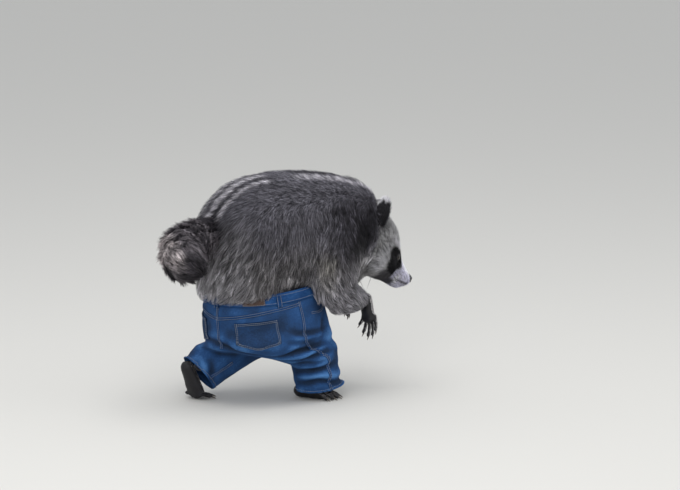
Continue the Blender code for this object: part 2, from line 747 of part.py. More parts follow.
for old in list(bpy.data.objects):
    bpy.data.objects.remove(old)
MODEL = bpy.data.collections.new("raccoon")
HELPERS = bpy.data.collections.new("cutters")
for group in (MODEL, HELPERS):
    bpy.context.scene.collection.children.link(group)
main()
SHIFT = centre_on_base(MODEL)
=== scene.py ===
import math

import bmesh
import bpy
import numpy as np
from mathutils import Matrix, Vector
from mathutils.bvhtree import BVHTree
from mathutils.kdtree import KDTree


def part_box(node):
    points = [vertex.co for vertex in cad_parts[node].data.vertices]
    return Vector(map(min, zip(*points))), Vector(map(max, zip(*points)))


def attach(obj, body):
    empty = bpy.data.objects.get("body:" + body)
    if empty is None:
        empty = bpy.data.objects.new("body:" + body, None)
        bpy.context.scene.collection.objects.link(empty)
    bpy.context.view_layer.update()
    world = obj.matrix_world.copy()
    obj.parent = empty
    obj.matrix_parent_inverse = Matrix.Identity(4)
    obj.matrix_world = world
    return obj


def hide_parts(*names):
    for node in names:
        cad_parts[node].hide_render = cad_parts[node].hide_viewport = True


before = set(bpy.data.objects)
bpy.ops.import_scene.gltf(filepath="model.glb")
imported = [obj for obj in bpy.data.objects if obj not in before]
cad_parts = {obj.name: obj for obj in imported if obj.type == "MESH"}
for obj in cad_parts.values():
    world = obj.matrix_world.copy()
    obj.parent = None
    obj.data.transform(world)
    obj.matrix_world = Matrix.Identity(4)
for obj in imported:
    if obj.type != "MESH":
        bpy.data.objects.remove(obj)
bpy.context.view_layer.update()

# A life-size raccoon walking upright in a toddler's blue jeans, as a museum model.
# Sizes are in millimetres unless a name or comment says otherwise.
MM = 0.001
RNG = np.random.default_rng(7)
HIPS = Vector((10.44, 22.2, 0))  # the hips' own frame, seen from the middle of the base

SIDES = ("right", "left")
FLESH = ["head", "neck", "trunk", "tail_base", "tail_tip"]
for side in SIDES:
    FLESH += [p + side for p in ("foreleg_upper_", "foreleg_lower_", "forepaw_", "hindleg_", "hindfoot_", "ear_")]


# ======== small tools
def linear(code):
    """An sRGB hex colour as linear light."""
    parts = [int(code[k:k + 2], 16) / 255 for k in (1, 3, 5)]
    return tuple(c / 12.92 if c <= 0.04045 else ((c + 0.055) / 1.055) ** 2.4 for c in parts) + (1.0,)


def add(tree, kind, links=None, stops=(), **settings):
    """Adds a node with its settings. links gives a socket its value or the output that feeds it; stops are a ramp's."""
    made = tree.nodes.new(kind)
    for name, value in settings.items():
        setattr(made, name, value)
    for k, (at, code) in enumerate(stops):
        elements = made.color_ramp.elements
        element = elements[k] if k < 2 else elements.new(at)
        element.position, element.color = at, linear(code)
    for socket, value in (links or {}).items():
        if isinstance(value, bpy.types.NodeSocket):
            tree.links.new(value, made.inputs[socket])
        else:
            made.inputs[socket].default_value = value
    return made


def put(name, data):
    """An object in the scene."""
    obj = bpy.data.objects.new(name, data)
    bpy.context.scene.collection.objects.link(obj)
    return obj


def new_object(name, mesh, nodes=()):
    """A visible piece that rides on the model, in place of some CAD nodes."""
    obj = put(name, mesh)
    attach(obj, "root")
    if nodes:
        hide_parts(*nodes)
    return obj


def read(data, key, width, kind=np.float32):
    """A row of values for each item of a mesh's data."""
    flat = np.zeros(len(data) * width, kind)
    data.foreach_get(key, flat)
    return flat.reshape(-1, width)


def write(data, key, values, kind=np.float32):
    data.foreach_set(key, np.asarray(values, kind).ravel())


def note(mesh, name, values):
    """Gives each vertex a number or a colour of its own, under a name."""
    kind, key = ("FLOAT", "value") if np.ndim(values) == 1 else ("FLOAT_COLOR", "color")
    write(mesh.attributes.new(name, kind, "POINT").data, key, values)


def coords(mesh, what="co"):
    """A mesh's vertex places or normals as an array, in metres."""
    return read(mesh.vertices, what, 3).astype(float)


def modified(name, mesh, *steps):
    """The mesh that modifiers make of another. A step is a modifier's kind and its settings."""
    obj = put(name, mesh)
    for kind, settings in steps:
        modifier = obj.modifiers.new(kind, kind)
        for key, value in settings.items():
            setattr(modifier, key, value)
    made = bpy.data.meshes.new_from_object(obj.evaluated_get(bpy.context.evaluated_depsgraph_get()))
    made.name = name
    bpy.data.objects.remove(obj)
    return made


def joined(name, meshes):
    """Several meshes as one."""
    bm = bmesh.new()
    for mesh in meshes:
        bm.from_mesh(mesh)
    made = bpy.data.meshes.new(name)
    bm.to_mesh(made)
    bm.free()
    return made


def surface_of(mesh, places):
    """A tree that finds the nearest place on a mesh whose vertices are at these places."""
    return BVHTree.FromPolygons(places.tolist(), [tuple(f.vertices) for f in mesh.polygons])


def tree_of(places):
    """A tree that finds the nearest of many places."""
    tree = KDTree(len(places))
    for k, place in enumerate(places.tolist()):
        tree.insert(place, k)
    tree.balance()
    return tree


def step(edge0, edge1, x):
    """Smooth step from 0 to 1 between two edges."""
    t = np.clip((x - edge0) / (edge1 - edge0), 0, 1)
    return t * t * (3 - 2 * t)


def bump(x, centre, half):
    """A smooth hump, 1 at the centre and 0 beyond half its width."""
    return 1 - step(0.35 * half, half, np.abs(x - centre))


def unit(v):
    return v / np.maximum(np.linalg.norm(v, axis=-1, keepdims=True), 1e-9)


def in_hips(p):
    """Places in metres as millimetres in the hips' frame."""
    return np.asarray(p) / MM - np.array(HIPS)


def circle(count):
    """Cosine and sine of evenly spaced angles."""
    angles = [math.tau * k / count for k in range(count)]
    return [(math.cos(q), math.sin(q)) for q in angles]


def ring(centre, side, up, wide, high, count, scale=1.0):
    """Places round a centre, wide along side and high along up."""
    return [centre + side * c * wide * scale + up * s * high * scale for c, s in circle(count)]


def loft(bm, rings, looped=False):
    """Joins rings of places into a closed skin of quads; looped joins the last ring to the first."""
    made = [[bm.verts.new(place) for place in places] for places in rings]
    for a, b in zip(made, made[1:] + made[:1] if looped else made[1:]):
        for i in range(len(a)):
            k = (i + 1) % len(a)
            bm.faces.new((a[i], a[k], b[k], b[i]))
    if not looped:
        bm.faces.new(made[0][::-1])
        bm.faces.new(made[-1])


def mesh_from(bm, name, material=None):
    """A smooth-shaded mesh from a bmesh, its faces turned out."""
    bmesh.ops.recalc_face_normals(bm, faces=bm.faces)
    mesh = bpy.data.meshes.new(name)
    bm.to_mesh(mesh)
    bm.free()
    mesh.shade_smooth()
    if material:
        mesh.materials.append(material)
    return mesh


def piece(bm, name, material, slot, *nodes, **values):
    """A visible piece of one material. Each value is a rule that gives every vertex a number."""
    mesh = mesh_from(bm, name, material)
    for key, rule in values.items():
        note(mesh, key, rule(coords(mesh)))
    return new_object(name, mesh, nodes)


def new_material(name, **inputs):
    """A Principled material, its tree and its object coordinates."""
    made = bpy.data.materials.new(name)
    made.use_nodes = True
    tree = made.node_tree
    for socket, value in inputs.items():
        tree.nodes["Principled BSDF"].inputs[socket.replace("_", " ")].default_value = value
    return made, tree, add(tree, "ShaderNodeTexCoord").outputs["Object"]


def feed(tree, colour=None, height=None, strength=0.4, depth=0.2):
    """Feeds a colour, and a relief some millimetres deep, to a material's shader."""
    sockets = tree.nodes["Principled BSDF"].inputs
    if colour:
        tree.links.new(colour, sockets["Base Color"])
    if height:
        relief = add(tree, "ShaderNodeBump", {"Strength": strength, "Distance": depth * MM, "Height": height})
        tree.links.new(relief.outputs[0], sockets["Normal"])


def mottled(name, patch, detail, low, high, relief=(), **inputs):
    """A material in patches of two colours, some millimetres across, with a texture's relief."""
    made, tree, place = new_material(name, **inputs)
    patches = add(tree, "ShaderNodeTexNoise", {"Vector": place, "Scale": 1 / (patch * MM), "Detail": detail})
    mixed = {0: patches.outputs["Fac"], 6: linear(low), 7: linear(high)}
    feed(tree, add(tree, "ShaderNodeMix", mixed, data_type="RGBA").outputs[2])
    if relief:
        kind, size, output, strength, depth = relief
        texture = add(tree, kind, {"Vector": place, "Scale": 1 / (size * MM)})
        feed(tree, None, texture.outputs[output], strength, depth)
    return made


# ======== where the head is
HEAD_TURN = Matrix.Rotation(math.radians(35), 3, "Y")  # the muzzle points forward and down
EYES = {side: sum(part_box("eye_" + side), Vector()) / 2 for side in SIDES}
EYE_LOCAL = Vector((-57, 0, 17))  # between the eyes, from the tip of the nose, along the muzzle
NOSE_TIP = (EYES["right"] + EYES["left"]) / 2 - HEAD_TURN @ EYE_LOCAL * MM


def in_head(p):
    """Places in metres as millimetres from the tip of the nose: forward, left and up from the muzzle."""
    return (np.asarray(p) - np.array(NOSE_TIP)) / MM @ np.array(HEAD_TURN)


def head_point(x, y, z):
    """The other way, in metres."""
    return NOSE_TIP + HEAD_TURN @ Vector((x, y, z)) * MM


# ======== camera, floor and light
def set_stage():
    """A pale floor, a camera low to the right and behind, and soft studio light from above."""
    scene = bpy.context.scene
    scene.view_settings.view_transform = "Standard"
    azimuth, elevation, distance, view_width = math.radians(-25), math.radians(10), 8.0, 1.122
    aim_right, aim_up = 0.0908, 0.2551  # the middle of the view, from the middle of the base
    right = Vector((math.cos(azimuth), math.sin(azimuth), 0))
    back = Vector((right.y, -right.x, 0)) * math.cos(elevation) + Vector((0, 0, math.sin(elevation)))
    up = back.cross(right)
    spot = right * aim_right + up * aim_up + back * distance
    lens = bpy.data.cameras.new("view")
    lens.sensor_width = 36
    lens.lens = 36 * distance / view_width
    lens.clip_end = 60
    scene.camera = put("view", lens)
    scene.camera.matrix_world = Matrix.Translation(spot) @ Matrix((right, up, back)).transposed().to_4x4()

    bm = bmesh.new()
    bmesh.ops.create_grid(bm, x_segments=2, y_segments=2, size=20)
    matt = new_material("matt studio floor", Base_Color=linear("#D2D0CB"), Roughness=0.95)[0]
    put("floor", mesh_from(bm, "floor", matt))  # without gloss it keeps a soft contact shadow

    for name, place, size, power in (
        ("overhead softbox", (-0.3, -0.5, 2.6), 2.2, 34),
        ("key softbox", (-1.5, -2.6, 1.9), 1.4, 30),
        ("fill softbox", (2.6, -1.6, 1.2), 1.8, 8),
    ):
        light = bpy.data.lights.new(name, "AREA")
        light.size = size
        light.energy = power
        aim = (Vector(place) - Vector((0, 0, 0.2))).to_track_quat("Z", "Y")
        put(name, light).matrix_world = Matrix.Translation(place) @ aim.to_matrix().to_4x4()
    scene.world = bpy.data.worlds.new("studio air")
    scene.world.use_nodes = True
    air = scene.world.node_tree.nodes["Background"].inputs
    air["Color"].default_value = linear("#E9ECF0")
    air["Strength"].default_value = 0.85


# ======== the skin
BODY_GRID, PAW_GRID, INSET_GRID, SKIN_GRID, PAW_FUSE, UNWRAP_GRID = 3.0, 1.3, 3.2, 2.5, 1.12, 5.0  # cells of meshes
HANDS = ("forepaw_right", "forepaw_left")
BODY = [n for n in FLESH if not n.startswith(("ear", "forepaw", "hindfoot"))]
FINE = [n for n in FLESH if n not in BODY]
DEPTHS = {  # how far the coat stands off the skin
    "trunk": 23, "neck": 17, "tail_base": 21, "tail_tip": 14, "foreleg_upper": 13, "foreleg_lower": 9,
    "forepaw": 1.0, "hindleg": 5, "hindfoot": 1.0, "ear": 1.5, "head": 12,
}
KINDS = list(DEPTHS)


def kind_of(node):
    """A CAD node's kind of flesh, without its side."""
    return KINDS.index(node.replace("_right", "").replace("_left", ""))


def is_kind(kinds, *names):
    return np.isin(kinds, [KINDS.index(n) for n in names])


def fused(meshes, grid, name, soften=5):
    """One closed mesh round several, on an even grid."""
    steps = [("REMESH", {"mode": "VOXEL", "voxel_size": grid * MM})]
    if soften:
        steps.append(("SMOOTH", {"factor": 0.5, "iterations": soften}))
    return modified(name, joined(name, meshes), *steps)


def pushed(mesh, by):
    """A copy with each vertex moved along its normal, in metres."""
    made = mesh.copy()
    write(made.vertices, "co", coords(mesh) + coords(mesh, "normal") * np.reshape(by, (-1, 1)))
    made.update()
    return made


def outline_of(nodes, grid, name):
    """The nodes' common outline, with what kind of flesh each vertex is."""
    faces, verts, owner, start = [], [], [], 0
    for node in nodes:
        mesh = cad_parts[node].data
        verts += coords(mesh).tolist()
        faces += [[start + v for v in p.vertices] for p in mesh.polygons]
        owner += [kind_of(node)] * len(mesh.polygons)
        start = len(verts)
    near = BVHTree.FromPolygons(verts, faces)
    made = fused([pushed(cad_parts[n].data, 0.6 * MM) for n in nodes], grid, name)
    return made, np.array([owner[near.find_nearest(v)[2]] for v in coords(made).tolist()])


def spread(mesh, values, rounds):
    """Evens values out over a mesh, along its edges."""
    a, b = read(mesh.edges, "vertices", 2, np.int32).T
    n = len(mesh.vertices)
    count = np.maximum(np.bincount(a, minlength=n) + np.bincount(b, minlength=n), 1)
    for _ in range(rounds):
        total = np.bincount(a, values[b], n) + np.bincount(b, values[a], n)
        values = 0.4 * values + 0.6 * total / count
    return values


def coat_depth(mesh, kinds):
    """The coat's depth at each vertex of an outline, in millimetres."""
    depth = np.array([DEPTHS[k] for k in KINDS], float)[kinds]
    behind = -in_head(coords(mesh))[:, 0]
    face = 2.0 + 2.0 * step(30, 55, behind) + 9 * step(62, 105, behind)
    depth = np.where(kinds == KINDS.index("head"), face, depth)
    height = in_hips(coords(mesh))[:, 2]
    depth = np.where(kinds == KINDS.index("trunk"), np.interp(height, [196, 232], [8, 23]), depth)
    return np.maximum(spread(mesh, depth, 14), 0.8)


def largest_part(mesh):
    """The mesh without loose crumbs."""
    bm = bmesh.new()
    bm.from_mesh(mesh)
    left, best = set(bm.verts), set()
    while left:
        group, front = set(), [left.pop()]
        while front:
            group.update(front)
            front = list({e.other_vert(v) for v in front for e in v.link_edges} - group)
        left -= group
        best = max(best, group, key=len)
    bmesh.ops.delete(bm, geom=[v for v in bm.verts if v not in best], context="VERTS")
    bm.to_mesh(mesh)
    bm.free()
    return mesh


def inset(outline, depth, grid):
    """The surface that lies inside an outline by the coat's depth."""
    tree = bpy.data.node_groups.new("inset", "GeometryNodeTree")
    for way in ("INPUT", "OUTPUT"):
        tree.interface.new_socket("Geometry", in_out=way, socket_type="NodeSocketGeometry")
    shape = add(tree, "NodeGroupInput").outputs[0]
    place = add(tree, "GeometryNodeInputPosition").outputs[0]
    near = add(tree, "GeometryNodeProximity", {0: shape}, target_element="FACES")
    normal = add(tree, "GeometryNodeInputNormal").outputs[0]
    named = add(tree, "GeometryNodeInputNamedAttribute", {"Name": "depth"}, data_type="FLOAT").outputs[0]
    facing, deep = (
        add(tree, "GeometryNodeSampleNearestSurface", {"Mesh": shape, "Value": value}, data_type=kind).outputs[0]
        for value, kind in ((normal, "FLOAT_VECTOR"), (named, "FLOAT"))
    )
    away = add(tree, "ShaderNodeVectorMath", {0: place, 1: near.outputs["Position"]}, operation="SUBTRACT")
    side = add(tree, "ShaderNodeVectorMath", {0: away.outputs[0], 1: facing}, operation="DOT_PRODUCT")
    sign = add(tree, "ShaderNodeMath", {0: side.outputs["Value"]}, operation="SIGN")
    height = add(tree, "ShaderNodeMath", {0: near.outputs["Distance"], 1: sign.outputs[0]}, operation="MULTIPLY")
    gap = add(tree, "ShaderNodeMath", {0: height.outputs[0], 1: deep}, operation="ADD")
    ramp = {0: gap.outputs[0], 1: -1 / (14 * MM), 2: 0.5}
    density = add(tree, "ShaderNodeMath", ramp, operation="MULTIPLY_ADD", use_clamp=True)
    spots = coords(outline)
    low, high = spots.min(0) - 4 * MM, spots.max(0) + 4 * MM
    cells = {f"Resolution {axis}": max(int(s / (grid * MM)), 8) for axis, s in zip("XYZ", high - low)}
    box = {"Density": density.outputs[0], "Min": tuple(low), "Max": tuple(high), **cells}
    volume = add(tree, "GeometryNodeVolumeCube", box)
    surface = add(tree, "GeometryNodeVolumeToMesh", {"Volume": volume.outputs[0], "Threshold": 0.5})
    add(tree, "NodeGroupOutput", {0: surface.outputs[0]})
    mesh = outline.copy()
    note(mesh, "depth", depth * MM)
    return modified("inset", mesh, ("NODES", {"node_group": tree}))


# ======== paws: toes, pads and claws
def fan_of_toes(palm, across, ahead, droop, lengths, spread, splay):
    """Middle and tip of five toes, thumb side first."""
    toes = []
    for k, length in enumerate(lengths):
        offset = (2 - k) / 2
        way = (ahead + across * offset * splay).normalized()
        knuckle = palm + across * offset * spread - ahead * 3.0 * offset ** 2
        toes.append((knuckle + way * length * 0.5 + droop * 0.15, knuckle + way * length + droop))
    return toes


def paw_layout(node):
    """A paw's heel and palm, its ways across and ahead, its toes and their radius, and the way its sole faces.

    All are in the hips' frame.
    """
    if node in HANDS:
        right = node.endswith("right")
        wrist = Vector((127, -46, 160)) if right else Vector((117, 40, 178))
        ahead = Vector((0.10, 0, -1) if right else (0.28, -0.06, -0.96)).normalized()
        across = Vector((-0.30, 0.95, 0) if right else (-0.10, -0.99, 0)).normalized()
        heel, palm, radius = wrist - ahead * 4, wrist + ahead * 29, 3.2
        toes = fan_of_toes(palm, across, ahead, Vector((-3, 0, 0)), (18, 28, 31, 29, 23), 12.5, 0.34)
    else:
        right, radius = node.endswith("right"), 4.1
        turn = math.radians(-45 if right else 18)
        ahead = Vector((math.cos(turn), math.sin(turn), 0))
        across = Vector((-ahead.y, ahead.x, 0)) if right else Vector((ahead.y, -ahead.x, 0))
        if right:
            heel = Vector((22, -9, 10.5))
            palm = heel + ahead * 38 - Vector((0, 0, 1.5))
            toes = fan_of_toes(palm, across, ahead, Vector((0, 0, -4.6)), (18, 27, 29, 27, 22), 16.5, 0.3)
        else:  # this foot is up on its toes, so its sole faces back
            heel, palm, knuckles = Vector((-158, 42, 54.5)), Vector((-141, 46, 13.5)), Vector((-141, 46, 7))
            toes = fan_of_toes(knuckles, across, ahead, Vector((0, 0, -2.4)), (18, 25, 27, 25, 20), 16.5, 0.3)
            ahead = (palm - heel).normalized()
    sole = ahead.cross(across).normalized()
    if sole.x + sole.z > 0:
        sole = -sole
    return heel, palm, across, ahead, toes, radius, sole


def paw_skin(node):
    """A heel or wrist, a palm and five separate fingers with knuckles and pads."""
    heel, palm, across, _, toes, radius, sole = paw_layout(node)
    heel_size, palm_size = ((9.5, 8.5), (14.0, 7.6)) if node in HANDS else ((12, 11), (18.5, 9.8))
    bm = bmesh.new()
    rings = []
    for t in (-0.22, -0.12, 0, 0.25, 0.55, 0.85, 1.05, 1.18, 1.26):
        close = math.sqrt(max(1 - max(-t / 0.26, (t - 1) / 0.28, 0) ** 2, 0.03))
        wide, thick = (a + (c - a) * min(max(t, 0), 1) for a, c in zip(heel_size, palm_size))
        rings.append(ring(heel.lerp(palm, t), across, sole, wide, thick, 28, close))
    loft(bm, rings)
    knuckles = {0: 1.0, 0.15: 1.15, 0.32: 1.05, 0.5: 0.92, 0.62: 1.0, 0.75: 0.86, 0.88: 0.95, 0.97: 0.85, 1.04: 0.5}
    for middle, tip in toes:
        way = (tip - middle).normalized()
        start = middle + (middle - tip) * 1.25
        side = way.cross(sole).normalized()
        rings = []
        for t, share in knuckles.items():
            centre = start.lerp(tip + way * 0.5, t) - sole * 1.6 * math.sin(math.pi * t)  # the finger arches a little
            rings.append(ring(centre, side, sole, radius, radius, 12, share))
        loft(bm, rings)
    bmesh.ops.translate(bm, verts=bm.verts, vec=HIPS)
    bmesh.ops.scale(bm, verts=bm.verts, vec=(MM, MM, MM))
    made = with_pads(fused([mesh_from(bm, node)], PAW_FUSE, node, 3), node)
    spots = coords(made)
    spots[:, 2] = np.maximum(spots[:, 2], 0.3 * MM)  # it stands flat on its pads
    write(made.vertices, "co", spots)
    return made


def with_pads(mesh, node):
    """Raises the pads of a palm or sole and of its toes on a paw's skin."""
    _, palm, across, ahead, toes, _, sole = paw_layout(node)
    wide = 1.0 if node in HANDS else 1.3
    pads = [(palm + across * a * wide + ahead * f, 4.6 * wide, 1.7) for a, f in ((-9, 2), (-3, 6), (3.5, 6), (9.5, 2))]
    pads += [(palm + across * a * wide - ahead * 12, 6.0 * wide, 1.5) for a in (-5.5, 6)]
    pads += [(tip - (tip - middle).normalized() * 1.5, 3.4, 1.0) for middle, tip in toes]
    b, n = in_hips(coords(mesh)), coords(mesh, "normal")
    facing = step(0.1, 0.6, n @ np.array(sole))
    rise = np.zeros(len(b))
    for centre, size, height in pads:
        off = b - np.array(centre)
        off -= np.array(sole) * (off @ np.array(sole))[:, None] * 0.8
        rise += height * np.exp(-(off ** 2).sum(1) / size ** 2)
    return pushed(mesh, (rise - 0.5) * facing * MM)


set_stage()
OUTLINES = [outline_of(BODY, BODY_GRID, "body outline")] + [outline_of([n], PAW_GRID, n) for n in FINE]
OUTLINES = [(mesh, kinds, coat_depth(mesh, kinds)) for mesh, kinds in OUTLINES]
body_mesh, body_kinds, body_depth = OUTLINES[0]
PAWS = {node: paw_skin(node) for node in FINE if not node.startswith("ear")}
under = [largest_part(inset(body_mesh, body_depth, INSET_GRID))]
under += [pushed(mesh, -depth * MM) for node, (mesh, _, depth) in zip(FINE, OUTLINES[1:]) if node.startswith("ear")]
SKIN = joined("skin", [fused(under, SKIN_GRID, "skin", 3), *PAWS.values()])
for k, node in enumerate(FINE):
    if node in PAWS:  # the thin hair of a paw follows its fingers
        mesh = pushed(PAWS[node], 1.0 * MM)
        OUTLINES[k + 1] = (mesh, np.full(len(mesh.vertices), kind_of(node)), np.full(len(mesh.vertices), 1.2))
b = in_hips(coords(body_mesh))
swell = 8.0 * step(-35, -90, b[:, 0]) * step(225, 285, b[:, 2]) * is_kind(body_kinds, "trunk")
swell += 7.0 * bump(b[:, 0], 140, 42) * step(300, 335, b[:, 2])
swell = spread(body_mesh, swell, 10)  # the coat is fuller over the rump and nape
OUTLINES[0] = (pushed(body_mesh, swell * MM), body_kinds, body_depth + swell)


# ======== the lie of the coat
TAIL_LINE = np.array([  # root to tip, in the hips' frame
    (-126, 0, 277), (-162, -8, 276), (-193, -30, 270), (-213, -66, 262), (-218, -104, 254), (-213, -134, 249),
])


def along_tail(b):
    """How far along the tail each place is, and the tail's direction there."""
    starts, ways = TAIL_LINE[:-1], np.diff(TAIL_LINE, axis=0)
    lengths = np.linalg.norm(ways, axis=1)
    t = np.clip(((b[:, None] - starts) * ways).sum(2) / lengths ** 2, 0, 1)
    off = np.linalg.norm(b[:, None] - starts - t[..., None] * ways, axis=2)
    k = off.argmin(1)
    rows = np.arange(len(b))
    before = np.concatenate([[0], np.cumsum(lengths)])
    return before[k] + t[rows, k] * lengths[k], unit(ways)[k]


def lie(p, n, kinds):
    """The way the coat lies at places on the outline, along the surface, and how far each tuft reaches."""
    b, h = in_hips(p), in_head(p)
    x, y, z = b.T
    top = step(285, 365, z)[:, None]
    lean = np.interp(x, [-130, -60, 10, 60, 110], [-0.7, -0.45, -0.05, 0.2, -0.1])
    flank = np.stack([lean, 0 * x, 0 * x - 1], 1)
    back, under = -h[:, 0], step(5, -25, h[:, 2])
    turn = np.array(HEAD_TURN)
    face = np.stack([
        0 * back - 1,
        np.sign(h[:, 1]) * 0.35 * step(60, 100, back),
        0.15 - 0.75 * under * step(45, 95, back),
    ], 1) @ turn.T
    arm = np.stack([np.interp(z, [180, 280], [0.45, -0.3]) + (x - 60) * 0.006, 0.12 * np.sign(y), 0 * z - 1], 1)
    way = flank * (1 - top) + np.array([-1, 0, -0.15]) * top
    reach = np.interp(z, [190, 240, 290, 330], [40, 38, 27, 19])
    for kind, there, far in (
        ("neck", np.array([-0.75, 0, -0.75]) * (1 - top) + np.array([-1, 0, -0.1]) * top, 21),
        ("foreleg_upper", arm, 26),
        ("foreleg_lower", (0.75, 0, -0.66), 17),
        ("forepaw", (0.12, 0, -1), 5.5),
        ("hindleg", (0, 0, -1), 12),
        ("hindfoot", np.where(y[:, None] < 12, np.array([0.7, -0.7, -0.3]), np.array([0.1, 0, -1])), 5),
        ("tail_base", along_tail(b)[1], 32),
        ("tail_tip", along_tail(b)[1], 32),
        ("head", face, np.interp(back, [8, 30, 60, 85, 115], [4, 6, 9, 15, 22])),
        ("ear", turn @ (-0.1, 0, 1), 5.5),
    ):
        here = is_kind(kinds, kind)
        way[here], reach[here] = np.broadcast_to(there, way.shape)[here], np.broadcast_to(far, reach.shape)[here]
    way = way - n * (way * n).sum(1, keepdims=True)
    return unit(way + 1e-6), reach


# ======== markings
def tint(code):
    return np.array(linear(code)[:3])


def mix(a, b, w):
    return a + (b - a) * np.reshape(w, (-1, 1))


EAR_WIDE, EAR_HIGH = 20, 29  # half the width and half the height of an ear
EARS = {}  # by side, 1 for left: the middle in metres and the ear's own axes
for sign in (1, -1):
    turn = Matrix.Rotation(math.radians(13), 3, "Y") @ Matrix.Rotation(math.radians(-2) * sign, 3, "Z")
    turn = turn @ Matrix.Rotation(math.radians(-12) * sign, 3, "X")
    middle = head_point(-126, 37 * sign, 50) + turn @ Vector((0, 0, 14)) * MM
    EARS[sign] = np.array(middle), np.array(turn)


def in_ear(p):
    """Places in metres as millimetres from the middle of the nearer ear: forward, outward and up."""
    sides = [(np.asarray(p) - middle) / MM @ turn * (1, sign, 1) for sign, (middle, turn) in EARS.items()]
    return np.where(in_head(p)[:, 1:2] > 0, *sides)


def from_ear_middle(p):
    """How far out a place is from the middle of the nearer ear, where 1 is about its edge."""
    _, outward, above = in_ear(p).T
    return np.hypot(outward / EAR_WIDE, above / EAR_HIGH)


def layered(base, layers):
    """A colour under layers of others, each given as a colour and its share."""
    for code, share in layers:
        base = mix(base, tint(code), share)
    return base


def body_marks(p, kinds):
    """The pale band's colour over the body and the hair's colour on the tail, and the share of dark tips, which on the
    tail follows its rings.
    """
    x, y, z = in_hips(p).T
    back, _, up = (in_head(p) * (-1, 1, 1)).T
    round_back = np.degrees(np.arctan2(np.abs(y), z - 273 + 1e-6))
    on_back = np.clip(step(300, 330, z) + step(-60, -100, x) * step(255, 290, z), 0, 1)
    broken = np.clip(0.62 + 0.3 * np.sin(x * 0.31 + 1.3) + 0.3 * np.sin(x * 0.83 + round_back * 0.2), 0, 1)
    front, rear = step(-12, 16, x), step(-36, -58, x)
    dashes = step(0.2, 0.6, 0.5 + 0.5 * np.sin((z + x * 0.6) * 0.42 + np.abs(y) * 0.1))
    # pale lines beside the spine and dashed streaks over the rump: partly the coat's pale hair, partly painted
    # highlight where the light from above falls on the back
    pale = bump(round_back, 15.5, 8) * on_back * broken * front
    streak = (bump(np.abs(y), 5, 6) + bump(np.abs(y), 30, 6.5)) * on_back * rear * (0.4 + 0.6 * dashes)
    spine = bump(round_back, 0, 9) * on_back * front + 0.65 * bump(np.abs(y), 17, 9) * on_back * rear
    arm = is_kind(kinds, "foreleg_upper", "foreleg_lower")
    silver = np.where(arm, step(235, 175, z), 0)
    layers = (  # colour, its share, and what it adds to the share of dark tips
        ("#898687", 0.8, step(275, 215, z), -0.12),  # belly and lower flank
        ("#56535C", 0.85, bump(x, 92, 62) * bump(z, 275, 85), 0.18),  # shoulder
        ("#2E2C33", 0.9, bump(back, 148, 26) * step(-42, -20, up) * step(66, 46, up), 0.25),  # nape
        # painted shadow on the rump round the tail's root, where the tail lies against the body
        ("#38353C", 0.9, step(-118, -136, x) * step(315, 285, z) * step(205, 235, z), 0.25),  # round the tail's root
        ("#C3BEB6", 0.6, bump(x, 34, 20) * bump(z, 205, 42), 0),  # behind the elbow
        ("#A5A3A8", 0.7, step(60, 100, x) * step(262, 215, z), -0.1),  # chest
        ("#C9C7CA", 0.8, bump(x, 120, 30) * bump(z, 214, 28), -0.15),  # under the chin
        ("#A7A5AB", 0.85, step(-85, -125, x) * step(330, 260, z), -0.08),  # rump
        # pale hair beside the spine and over the rump, partly painted highlight
        ("#E6E2E8", 1, np.clip(0.8 * pale + 0.95 * streak, 0, 1), 0),  # beside the spine and over the rump
        ("#37343A", 0.85, spine, 0.3),
        ("#96949B", 0.7, silver, -0.25),  # forelegs
    )
    band, dark = np.ones((len(p), 1)) * tint("#7C7A83"), np.full(len(p), 0.5)
    for code, strength, share, darker in layers:
        band = mix(band, tint(code), strength * share)
        dark += darker * share
    # fewer dark tips where the pale hair and painted highlight lie beside the spine and over the rump
    dark += 0.1 * arm - 0.4 * np.clip(pale + streak, 0, 1)

    s, _ = along_tail(in_hips(p))
    tail = is_kind(kinds, "tail_base", "tail_tip")
    rings = np.where(tail, step(0.40, 0.75, 0.5 + 0.5 * np.cos((s - 34) / 30 * math.tau)) * step(25, 45, s), 0)
    ringed = np.maximum(rings, np.where(tail, step(172, 186, s), 0))
    hair = layered(np.ones((len(p), 1)) * tint("#7E787D"), (
        ("#38343A", np.clip(0.85 * ringed, 0, 1)),
        ("#DAD0D0", 0.95 * step(-224, -240, x) * step(236, 260, z) * (1 - 0.35 * rings)),
        # painted shadow on the first part of the tail, where it lies against the rump
        ("#333037", 0.9 * step(58, 26, s)),
    ))
    return np.where(tail[:, None], hair, band), np.where(tail, 0.3 + 0.35 * ringed, dark)


